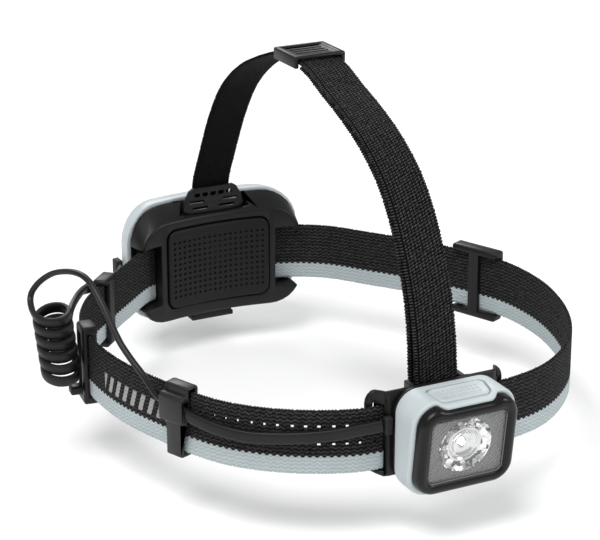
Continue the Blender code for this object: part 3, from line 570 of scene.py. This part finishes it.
def webbing(name, line, width, thick, place, material, stands_for, relief, holes=()):
    """A strip of webbing as a solid with a knitted relief, scalloped edges and punched holes.

    line is its middle line in 2D, place makes a 3D point of a 2D one and a height, relief gives
    how far the knit stands out at a place on the strip, and holes are (along, across) places.
    """
    along, spots = even(line, CELL_ALONG, 2)
    rows = round(width / CELL_ACROSS)
    across = np.linspace(-width / 2, width / 2, rows + 1)
    ahead = np.roll(spots, -1, axis=0)
    ahead[-1] = 2 * spots[-1] - spots[-2]
    behind = np.roll(spots, 1, axis=0)
    behind[0] = 2 * spots[0] - spots[1]
    tangent = ahead - behind
    tangent /= np.linalg.norm(tangent, axis=1)[:, None]
    normal = np.stack([-tangent[:, 1], tangent[:, 0]], 1)
    u, v = np.meshgrid(along, across, indexing="ij")
    rim = np.clip((np.abs(v) - width / 2 + 1.0), 0, 1)
    height = relief(u, v)
    half = thick / 2 - RIM_THINNING * rim**2
    teeth = TOOTH * np.where((u / TOOTH_PERIOD) % 1.0 < 0.5, 1, -1)
    edge_v = v + np.sign(v) * teeth * (np.abs(v) > width / 2 - 0.2)
    points, uvs = [], []
    for outward in (1, -1):
        reach = outward * (half + height)
        flat = spots[:, None, :] + normal[:, None, :] * reach[:, :, None]
        for i in range(len(along)):
            for j in range(rows + 1):
                points.append(place(flat[i, j, 0], flat[i, j, 1], edge_v[i, j]))
                uvs.append((u[i, j], v[i, j]))
    n, m = len(along), rows + 1
    back = n * m
    gone = set()
    for hole_u, hole_v in holes:
        i, j = round(hole_u / along[1]), round((hole_v + width / 2) / (across[1] - across[0]))
        gone.update((i + k, j + h) for k in range(HOLE_CELLS[0]) for h in range(HOLE_CELLS[1]))
    faces = []
    for i in range(n - 1):
        for j in range(m - 1):
            if (i, j) in gone:
                continue
            a, b, c, d = i * m + j, (i + 1) * m + j, (i + 1) * m + j + 1, i * m + j + 1
            faces.append((a, b, c, d))
            faces.append((back + a, back + d, back + c, back + b))
            sides = (((i, j - 1), a, b), ((i + 1, j), b, c), ((i, j + 1), c, d), ((i - 1, j), d, a))
            for near, p, q in sides:
                outside = not (0 <= near[0] < n - 1 and 0 <= near[1] < m - 1)
                if outside or near in gone:
                    faces.append((q, p, back + p, back + q))
    mesh = mesh_from(name, points, faces)
    layer = mesh.uv_layers.new(name="weave")
    loops = np.empty(len(mesh.loops), dtype=np.int32)
    mesh.loops.foreach_get("vertex_index", loops)
    layer.data.foreach_set("uv", np.array(uvs, dtype=np.float32)[loops].ravel())
    return show(name, outward_mesh(mesh), material, "root", stands_for, "webbing", angle=60)


def band_relief(u, v):
    """The headband's zigzag rows as real relief, under the finer bump of its material."""
    swing = np.abs((u / KNIT_PERIOD) % 1.0 - 0.5) * 2
    return KNIT_RELIEF * np.sin(TURN * (v + KNIT_SWING * swing) / KNIT_ROW)


def top_relief(u, v):
    """The top strap's slanting stitches as real relief."""
    column = v / STITCH_COLUMN
    phase = u / STITCH_ROW + STITCH_SLANT * (column % 1) + 0.5 * (np.floor(column) % 2)
    return KNIT_RELIEF * np.cos(TURN * phase) * (1 - np.abs(2 * (column % 1) - 1) ** 3)


def headband():
    """The headband's three lengths, with rows of punched holes in the front one."""
    def place(x, y, z):
        return (x, y, z)

    # Each row is how many holes it has, where the first one is along the band, and how high it is
    hole_rows = ((18, 80, 5.6), (6, 125, -1.6), (9, 262, 4.6), (9, 262, -1.4))
    holes = [(start + HOLE_PITCH * i, height) for count, start, height in hole_rows for i in range(count)]
    for name, route, marks, punched in (
        ("front", BAND_FRONT, SLANTING_BARS, holes),
        ("rear_left", BAND_REAR_LEFT, (), ()),
        ("rear_right", BAND_REAR_RIGHT, (), ()),
    ):
        material = knit_band("knit_" + name, marks)
        webbing("knit_band_" + name, smooth(route, 2), BAND_WIDTH, BAND_THICK, place, material,
                ("headband_" + name,), band_relief, punched)


def crown(start, end):
    """The arc of the top strap over the crown, between two angles in degrees from its highest point."""
    steps = 24
    angles = [math.radians(start + (end - start) * i / steps) for i in range(steps + 1)]
    return [
        Vector((CROWN_CENTRE[0] + CROWN_RADIUS * math.sin(a), CROWN_CENTRE[1] + CROWN_RADIUS * math.cos(a)))
        for a in angles
    ]


def top_strap():
    """The rear strap, and the front one, which goes round the bracket's bar and back up behind itself."""
    def place(y, z, x):
        return (x, y, z)

    rear = crown(0.4, 17.0) + smooth(TOP_REAR, 2)
    # The rear strap's knit is a darker copy of the front strap's, with far weaker highlights: painted shade
    webbing("knit_top_rear", rear, TOP_WIDTH, TOP_THICK, place,
            knit_top("knit_top_rear", (0.001,) * 3, (0.01,) * 3), ("top_strap_rear",), top_relief)
    outer = crown(-0.4, -17.0) + smooth(TOP_FRONT, 2)
    bar_y, bar_z, bar_radius = STRAP_BAR
    bend = bar_radius + 0.35 + TOP_THICK / 2
    loop = [
        Vector((bar_y - bend * math.cos(a), bar_z - bend * math.sin(a)))
        for a in (math.pi * i / 16 for i in range(17))
    ]
    # The inner layer starts close behind the outer one and spreads to the bar's width lower down
    back, closest = outer[12:], 1.75
    inner = []
    for i, point in enumerate(back):
        step = back[min(i + 1, len(back) - 1)] - back[max(i - 1, 0)]
        inward = Vector((-step.y, step.x)).normalized()
        inner.append(point + inward * (closest + (2 * bend - closest) * (i / (len(back) - 1)) ** 2))
    webbing("knit_top_front", outer + loop + inner[::-1], TOP_WIDTH, TOP_THICK, place,
            knit_top("knit_top_front", (0.0008,) * 3, (0.07,) * 3), ("top_strap_front",), top_relief)


# ---------------------------------------------------------------- rigid pieces


def rounded_loop(half_x, half_z, radius, corner, straight):
    """Points round a rectangle with rounded corners, from its right side round by its top.

    corner and straight are how many steps each rounded corner and each straight side takes.
    """
    points = []
    signs = ((1, 1), (-1, 1), (-1, -1), (1, -1))
    for quarter, (side_x, side_z) in enumerate(signs):
        next_x, next_z = signs[(quarter + 1) % 4]
        for i in range(corner + 1):
            a = math.pi / 2 * (quarter + i / corner)
            x, z = radius * math.cos(a), radius * math.sin(a)
            points.append((side_x * (half_x - radius) + x, side_z * (half_z - radius) + z))
        for i in range(1, straight):
            t = i / straight
            x = (side_x + (next_x - side_x) * t) * (half_x - radius) + x * (side_x == next_x)
            z = (side_z + (next_z - side_z) * t) * (half_z - radius) + z * (side_z == next_z)
            points.append((x, z))
            x, z = radius * math.cos(a), radius * math.sin(a)
    return points


def loft(name, rings, closed=False):
    """A solid through rings of points: its ends are filled, or where closed meet each other."""
    count = len(rings[0])
    points = [tuple(p) for ring in rings for p in ring]
    faces = []
    for i in range(len(rings) if closed else len(rings) - 1):
        near, far = i * count, (i + 1) % len(rings) * count
        for k in range(count):
            j = (k + 1) % count
            faces.append((near + k, near + j, far + j, far + k))
    if not closed:
        last = (len(rings) - 1) * count
        faces.append(tuple(range(count))[::-1])
        faces.append(tuple(last + k for k in range(count)))
    return outward_mesh(mesh_from(name, points, faces))


def turned(name, profile, sides, stagger=False, closed=True):
    """A ring, or where not closed a solid, turned about the lamp's axis from (radius, depth) pairs.

    Stagger turns every other ring of points by half a step, so that the facets between are triangles.
    """
    rings = []
    for i, (radius, depth) in enumerate(profile):
        twist = 0.5 * (i % 2) if stagger else 0
        angles = [TURN * (k + twist) / sides for k in range(sides)]
        ring = [Vector((radius * math.cos(a), depth, radius * math.sin(a))) for a in angles]
        rings.append([FACE @ point for point in ring])
    mesh = loft(name, rings, closed)
    if stagger:
        work = bmesh.new()
        work.from_mesh(mesh)
        bmesh.ops.triangulate(work, faces=work.faces)
        work.to_mesh(mesh)
        work.free()
    return mesh


def round_edges(mesh, width):
    """Rounds a mesh's sharp edges."""
    work = bmesh.new()
    work.from_mesh(mesh)
    sharp = [
        e for e in work.edges
        if len(e.link_faces) == 2 and e.calc_face_angle(0) > math.radians(28)
        and e.calc_length() > 0.3 * width * MM
    ]
    bmesh.ops.bevel(
        work, geom=sharp, offset=width * MM, segments=2, profile=0.5, affect="EDGES",
        clamp_overlap=False, miter_outer="SHARP", miter_inner="SHARP",
    )
    work.to_mesh(mesh)
    work.free()


def refined(node, material, width, body, slot):
    """A piece with the shape of a CAD node and rounded edges, which takes its place."""
    work = bmesh.new()
    work.from_mesh(frame["nodes"][node].data)
    bmesh.ops.remove_doubles(work, verts=work.verts, dist=0.02 * MM)
    bmesh.ops.dissolve_limit(work, angle_limit=math.radians(1.5), verts=work.verts, edges=work.edges)
    mesh = bpy.data.meshes.new(node + "_look")
    work.to_mesh(mesh)
    work.free()
    round_edges(mesh, width)
    show(node + "_look", mesh, material, body, (node,), slot, angle=40)


def join_into(mesh, others):
    """Adds other meshes to a mesh."""
    work = bmesh.new()
    work.from_mesh(mesh)
    for other in others:
        work.from_mesh(other)
    work.to_mesh(mesh)
    work.free()


def bead(place, size):
    """A small raised bar with a rounded top: size is its (x, y, z) in the place's own frame."""
    half_x, half_y, height = size[0] / 2, size[1] / 2, size[2]
    radius = min(half_x, half_y) * 0.98
    rings = []
    for scale, rise in ((1, 0), (1, height * 0.5), (0.85, height * 0.85), (0.6, height)):
        loop = rounded_loop(half_x * scale, half_y * scale, radius * scale, 3, 1)
        rings.append([place @ Vector((x, y, rise)) for x, y in loop])
    return loft("bead", rings)


def lip_share(x):
    """How much of the housing's lip there is at x: all of it in the middle, none at the corners."""
    t = max(0.0, min(1.0, (LIP_HALF_WIDTH - abs(x)) / LIP_FADE))
    return t * t * (3 - 2 * t)


def housing_front(z, depth):
    """The y of the plane at this depth behind the face, at height z."""
    local_z = (z - FACE_CENTRE[2] - depth * math.sin(FACE_TILT)) / math.cos(FACE_TILT)
    return FACE_CENTRE[1] + depth * math.cos(FACE_TILT) - local_z * math.sin(FACE_TILT)


def housing_ring(inset, front_share, step, lip):
    """One ring of the housing: front_share 1 is at its front plane and 0 at its back.

    inset is how far inside the housing's outline it is, step how far behind that plane, and lip
    how much of the lip's reach it has.
    """
    ring = []
    loop = rounded_loop(LAMP_WIDTH / 2 - inset, LAMP_HEIGHT / 2 - inset, LAMP_RADIUS - inset, 12, 16)
    for x, z in loop:
        z += LAMP_MIDDLE_Z
        y = housing_front(z, FRONT_DEPTH) * front_share + LAMP_BACK * (1 - front_share) + step
        if z > LAMP_MIDDLE_Z + 10:
            y -= LIP_REACH * lip_share(x) * lip
            z -= LIP_DROP * lip_share(x) * max(0.0, front_share - 0.25) / 0.75
        ring.append((x, y, z))
    return ring


def lamp_housing(material):
    """The pale housing as a shell with rounded edges and an opening for the button."""
    rings = [housing_ring(inset, 1, step, 1) for inset, step in ((2.6, 0.8), (1.9, 0.12), (FRONT_ROUND, 0))]
    for i in range(1, 6):
        a = math.pi / 2 * i / 5
        rings.append(housing_ring(FRONT_ROUND * (1 - math.sin(a)), 1, 1.5 * (1 - math.cos(a)), 1))
    for share, lip in ((0.8, 0.55), (0.68, 0.12), (0.55, 0), (0.3, 0)):
        rings.append(housing_ring(0, share, 0, lip))
    for i in range(6):
        a = math.pi / 2 * i / 5
        rings.append(housing_ring(BACK_ROUND * (1 - math.cos(a)), 0, -BACK_ROUND * (1 - math.sin(a)), 0))
    rings += [housing_ring(WALL, 0, 0, 0), housing_ring(WALL, 1, 0.9, 0)]
    mesh = loft("lamp_housing", rings, closed=True)
    cutter = loft("button_hole", [
        [button_point(x, y, z) for x, y in rounded_loop(11.75, 5.5, 2.9, 8, 4)] for z in (-5, 5)
    ])
    piece = show("lamp_housing_look", mesh, material, "lamp", ("lamp_housing",), "pale_shell", 38)
    tool = bpy.data.objects.new("button_hole", cutter)
    bpy.context.scene.collection.objects.link(tool)
    cut = piece.modifiers.new("hole", "BOOLEAN")
    cut.operation, cut.object = "DIFFERENCE", tool
    baked = bpy.data.meshes.new_from_object(piece.evaluated_get(bpy.context.evaluated_depsgraph_get()))
    piece.modifiers.clear()
    piece.data = baked
    bpy.data.objects.remove(tool)
    baked.shade_smooth()
    baked.set_sharp_from_angle(angle=math.radians(38))


def button_point(x, y, z):
    """A place on the sloping button, which is wider at its back."""
    return BUTTON @ Vector((x * (1 + 0.014 * y), y, z))


def mode_button(material):
    """A button with a raised rim and three rows of small ribs on it."""
    profile = [
        (11.6, 5.3, 2.8, -2.6), (11.6, 5.3, 2.8, -0.75), (11.2, 4.95, 2.6, -0.7), (11.1, 4.85, 2.5, -0.3),
        (10.9, 4.65, 2.4, 0.15), (10.6, 4.4, 2.3, 0.38), (10.2, 4.0, 2.1, 0.42), (9.8, 3.7, 2.0, 0.3),
        (9.5, 3.45, 1.8, 0.14), (5, 1.6, 1.0, 0.16),
    ]
    mesh = loft("mode_button", [
        [button_point(x, y, z) for x, y in rounded_loop(half_x, half_y, radius, 8, 4)]
        for half_x, half_y, radius, z in profile
    ])
    ribs = []
    for row in range(3):
        for column in range(9):
            place = Matrix.Translation(button_point(-7.4 + 1.85 * column, 2.0 * row - 2.0, 0.06))
            ribs.append(bead(place, (1.2, 0.62, 0.42)))
    join_into(mesh, ribs)
    show("mode_button_look", mesh, material, "mode_button", ("mode_button",), "pale_shell", 38)


def face_ring(share, depth):
    """One ring of the bezel: share 0 is its outline and 1 is the window's."""
    def between(outline, window):
        return outline + (window - outline) * share

    ring = []
    half_x, half_z = between(BEZEL_HALF[0], WINDOW_HALF[0]), between(BEZEL_HALF[1], WINDOW_HALF[1])
    loop = rounded_loop(half_x, half_z, between(BEZEL_RADIUS, WINDOW_RADIUS), 12, 16)
    for x, z in loop:
        z += 0.3 * (1 - share)
        if z > 9:
            z -= 1.1 * lip_share(x) * (1 - share)
        ring.append(FACE @ Vector((x, depth, z)))
    return ring


def lamp_bezel(material, rim_material):
    """The rounded black bezel, and the thin grey rim of the window in it."""
    profile = [
        (0, 3.3), (0, 2.2), (0.012, 1.3), (0.05, 0.5), (0.12, -0.1), (0.22, -0.55), (0.36, -0.88),
        (0.52, -1.0), (0.68, -0.93), (0.8, -0.7), (0.88, -0.4), (0.93, -0.1), (0.965, 0.05), (1, 0.4),
        (1, 3.3),
    ]
    mesh = loft("lamp_bezel", [face_ring(*row) for row in profile], closed=True)
    show("lamp_bezel_look", mesh, material, "lamp", ("lamp_bezel",), "satin_black", 40)
    rim_profile = ((0.955, 0.2), (0.965, -0.05), (0.99, -0.12), (1.025, -0.02), (1.035, 0.3))
    rim = loft("window_rim", [face_ring(*row) for row in rim_profile], closed=True)
    show("lamp_window_rim", rim, rim_material, "lamp", (), "satin_black", 60)


def lamp_optics(looks):
    """The window, the ribbed field behind it, and the faceted reflector round the light source."""
    rings = []
    for inset, depth in ((0.3, 1.4), (0, 1.2), (0, 0.35), (0.12, 0.18), (0.35, 0.1)):
        outline = rounded_loop(15.15 - inset, 12.35 - inset, 2.4 - inset, 6, 2)
        rings.append([FACE @ Vector((x, depth, z)) for x, z in outline])
    window = loft("lamp_lens", rings)
    show("lamp_lens_look", window, looks["window"], "lamp", ("lamp_lens",), "clear", 50)
    # The field is a flat ring between the window's outline, share 0, and a circle, share 1
    outline, circle = rounded_loop(15.6, 12.8, 2.6, 8, 12), 10.7
    flat = [(share, 1.7) for share in (0, 0.25, 0.5, 0.75, 0.97)]
    rings = []
    for share, depth in ((0, 2.2), *flat, (1, 1.8), (1, 2.2)):
        ring = []
        for x, z in outline:
            scale = (1 - share) + share * circle / math.hypot(x, z)
            ring.append(FACE @ Vector((x * scale, depth, z * scale)))
        rings.append(ring)
    show("lens_field", loft("lens_field", rings, closed=True), looks["field"], "lamp", (), "clear", 30)
    bowl = turned("reflector", [
        (10.9, 5.6), (10.9, 1.5), (10.6, 1.3), (10.25, 1.5), (9.9, 1.9), (9.2, 2.5), (8.3, 3.0),
        (7.2, 3.4), (6.9, 5.6),
    ], 40, stagger=True)
    show("main_reflector", bowl, looks["facets"], "lamp", ("main_optic",), "clear", 1)
    collar = turned("collar", [
        (7.1, 3.4), (7.0, 2.4), (6.7, 2.2), (6.3, 2.3), (6.1, 2.7), (5.6, 3.0), (5.2, 2.7), (4.9, 2.8),
        (4.5, 3.2), (3.6, 3.6), (2.7, 3.8), (1.7, 4.3), (1.7, 5.6), (7.1, 5.6),
    ], 56)
    show("optic_collar", collar, looks["mirror"], "lamp", (), "clear", 50)
    dome_profile = [(0.02, 3.7), (0.5, 3.8), (0.9, 4.0), (1.25, 4.4), (1.35, 5.0)]
    dome = turned("led_dome", dome_profile, 32, closed=False)
    show("led_dome", dome, looks["glow"], "lamp", ("main_led",), "led", 50)


def pack_pad(material):
    """The soft pad: a plate with a rounded edge and rows of small round dimples."""
    columns, rows, pitch, dimple = 18, 11, 2.5, 0.62
    half_x, half_z = columns * pitch / 2, rows * pitch / 2
    face_y, middle_z, crown_width = 80.9, 1.4, 220
    points, faces, known = [], [], {}

    def point(x, z, depth):
        """The index of the point at this place, which is made once and shared."""
        key = (round(x, 3), round(z, 3), round(depth, 3))
        if key not in known:
            known[key] = len(points)
            points.append((x, face_y + depth - x * x / crown_width, middle_z + z))
        return known[key]

    around = [(1, 0), (1, 1), (0, 1), (-1, 1), (-1, 0), (-1, -1), (0, -1), (1, -1)]
    for i in range(columns):
        for k in range(rows):
            cx, cz = (i + 0.5) * pitch - half_x, (k + 0.5) * pitch - half_z
            square = [point(cx + dx * pitch / 2, cz + dz * pitch / 2, 0) for dx, dz in around]
            rings = [square]
            for radius, depth in ((dimple + 0.12, 0), (dimple, 0.1), (dimple * 0.9, 0.7)):
                ring = []
                for dx, dz in around:
                    size = math.hypot(dx, dz)
                    ring.append(point(cx + radius * dx / size, cz + radius * dz / size, depth))
                rings.append(ring)
            for a, b in zip(rings, rings[1:]):
                for n in range(8):
                    m = (n + 1) % 8
                    faces.append((a[n], a[m], b[m], b[n]))
            faces.append(tuple(rings[-1]))
    rim = [(half_x, -half_z + k * pitch / 2) for k in range(2 * rows)]
    rim += [(half_x - i * pitch / 2, half_z) for i in range(2 * columns)]
    rim += [(-half_x, half_z - k * pitch / 2) for k in range(2 * rows)]
    rim += [(-half_x + i * pitch / 2, -half_z) for i in range(2 * columns)]
    before = [point(x, z, 0) for x, z in rim]
    for inset, depth in ((1.0, 0), (0.5, 0.12), (0.14, 0.45), (0, 0.9), (0, 2.0), (6, 2.0)):
        out_x, out_z, radius = 24.3 - inset, 18.0 - inset, max(0.5, 4.6 - inset)
        ring = []
        for x, z in rim:
            x, z = x * out_x / half_x, z * out_z / half_z
            core_x = max(radius - out_x, min(out_x - radius, x))
            core_z = max(radius - out_z, min(out_z - radius, z))
            scale = radius / math.hypot(x - core_x, z - core_z)
            ring.append(point(core_x + (x - core_x) * scale, core_z + (z - core_z) * scale, depth))
        for n in range(len(rim)):
            m = (n + 1) % len(rim)
            faces.append((before[n], before[m], ring[m], ring[n]))
        before = ring
    faces.append(tuple(before))
    mesh = outward_mesh(mesh_from("pack_pad", points, faces))
    show("pack_pad_look", mesh, material, "root", ("pack_pad",), "rubber", 35)


def rigid_pieces(looks):
    """Every hard piece. The number of each plain one is how far its edges are rounded."""
    looks["satin"] = plastic("satin_bezel", (0.0035, 0.0035, 0.0037), 0.3)
    looks["clip"] = plastic("clip_plastic", (0.02, 0.02, 0.021), 0.4)
    looks["soft_black"] = plastic("soft_black", (0.0025, 0.0025, 0.0027), 0.55)
    looks["rim"] = plastic("window_rim", (0.16, 0.165, 0.17), 0.25, spread=0.04)
    looks["field"] = ribbed_field()
    looks["mirror"] = metal("mirror", (0.75, 0.75, 0.76), 0.13)
    looks["facets"] = painted_reflection_metal()
    looks["glow"] = glowing_dome()
    looks["window"] = clear_plastic("window_glass", 0.1)
    lamp_housing(looks["pale_shell"])
    mode_button(looks["pale_shell"])
    lamp_bezel(looks["satin"], looks["rim"])
    lamp_optics(looks)
    pack_pad(looks["soft_black"])
    slots = {entry["node"]: entry["material_slot"] for entry in frame["record"]["subparts"]}
    for node, width, body, look in (
        ("front_bracket", 0.5, "root", "satin_black"), ("cable_clip", 0.7, "cable_clip", "clip"),
        ("band_slider_right", 0.35, "band_slider_right", "black_plastic"),
        ("band_slider_left", 0.35, "root", "black_plastic"),
        ("band_keeper_left", 0.35, "root", "black_plastic"),
        ("cord_keeper", 0.3, "root", "black_plastic"),
        ("top_slider", 0.35, "top_slider", "black_plastic"),
        ("top_hook", 0.25, "root", "black_plastic"), ("pack_inner_shell", 0.6, "root", "black_plastic"),
        ("pack_rear_cover", 0.3, "root", "pale_shell"), ("port_cover", 0.3, "port_cover", "rubber"),
        ("lamp_back_cover", 0.3, "lamp", "black_plastic"), ("lamp_cord_gland", 0.4, "root", "rubber"),
        ("pack_cord_gland", 0.4, "root", "rubber"), ("tail_lens", 0.3, "root", "red_lens"),
    ):
        refined(node, looks[look], width, body, slots[node])


def ribbed_field():
    """The grey field round the reflector, with fine ribs that run across its corners."""
    nodes = Nodes("ribbed_field", (0.2, 0.2, 0.2), 0.35)
    split = nodes.tree.nodes.new("ShaderNodeSeparateXYZ")
    nodes.link(nodes.spot(), split.inputs[0])
    ribs = nodes.wave(nodes.math("SUBTRACT", split.outputs[0], split.outputs[2]), 0.0019)
    shade = nodes.math("MULTIPLY_ADD", ribs, 0.5, 0.5)
    # The ribs' colour is lighter on their crests and darker in their troughs: painted shade on the ribs
    nodes.colour(nodes.ramp(shade, (0.038, 0.038, 0.039), (0.09, 0.09, 0.092), 0.1, 0.9))
    nodes.roughness(nodes.noise(300, 3), 0.3, 0.42)
    nodes.bump(shade, 0.0002, 0.6)
    return nodes.material


def painted_reflection_metal():
    """Bright metal with painted reflections: its small facets are painted colours from near black to white.
    """
    nodes = Nodes("painted_reflection_metal", (0.8, 0.8, 0.8), 0.12, 1.0)
    cells = nodes.cells(560)
    split = nodes.tree.nodes.new("ShaderNodeSeparateColor")
    nodes.link(cells.outputs["Color"], split.inputs[0])
    # Painted reflections: each facet's colour, from near black to white, stands in for what the metal
    # reflects
    nodes.colour(nodes.ramp(split.outputs[0], (0.05, 0.05, 0.05), (0.98, 0.98, 0.98), 0.2, 0.55))
    nodes.roughness(split.outputs[1], 0.05, 0.3)
    nodes.bump(cells.outputs["Distance"], 0.0003, 0.5)
    return nodes.material


def glowing_dome():
    """The light source: a warm white dome that glows, with a darker speckle of phosphor."""
    nodes = Nodes("glowing_dome", (0.9, 0.88, 0.8), 0.3)
    speckle = nodes.ramp(nodes.noise(1500, 3), (0.85, 0.84, 0.78), (1.0, 1.0, 0.97))
    nodes.colour(speckle)
    nodes.link(speckle, nodes.shader.inputs["Emission Color"])
    nodes.set(glow=5.0)
    nodes.roughness(nodes.noise(300, 3), 0.2, 0.4)
    nodes.bump(nodes.noise(900, 2), 0.00002, 0.3)
    return nodes.material


def clear_plastic(name, alpha):
    """Clear plastic that is mostly see-through, with a hard gloss."""
    nodes = Nodes(name, (0.9, 0.91, 0.92), 0.06)
    nodes.colour(nodes.ramp(nodes.noise(80, 3), (0.86, 0.87, 0.88), (0.94, 0.95, 0.96)))
    nodes.roughness(nodes.noise(200, 3), 0.04, 0.1)
    nodes.bump(nodes.noise(500, 2), 0.00001, 0.2)
    nodes.set(alpha=alpha)
    return nodes.material


def node_materials():
    """A material for every CAD node that stays, by its slot in the record."""
    made = {
        "pale_shell": plastic("pale_shell", (0.5, 0.553, 0.568), 0.42, spread=0.04),
        "black_plastic": plastic("black_plastic", (0.007, 0.007, 0.0075), 0.42),
        "satin_black": plastic("satin_black", (0.007, 0.007, 0.0073), 0.36),
        "grey_plastic": plastic("grey_plastic", (0.038, 0.039, 0.041), 0.45),
        "rubber": rubber("rubber", 0.013, 0.6),
        "webbing": rubber("webbing_plain", 0.02, 0.9),
        "clear": plastic("clear_plain", (0.8, 0.82, 0.84), 0.1),
        "red_lens": plastic("red_lens", (0.4, 0.01, 0.012), 0.18, coat=0.5),
        "circuit": plastic("circuit", (0.015, 0.1, 0.04), 0.5),
        "led": plastic("led", (0.85, 0.72, 0.25), 0.35),
        "steel": metal("steel", (0.5, 0.5, 0.51), 0.3),
        "aluminium": metal("aluminium", (0.7, 0.7, 0.72), 0.35),
        "cell_wrap": plastic("cell_wrap", (0.03, 0.08, 0.32), 0.35),
    }
    for entry in frame["record"]["subparts"]:
        node = frame["nodes"][entry["node"]]
        for place in node.material_slots:
            place.material = made[entry["material_slot"]]
    return made


camera()
cord()
studio()
looks = node_materials()
rigid_pieces(looks)
headband()
top_strap()
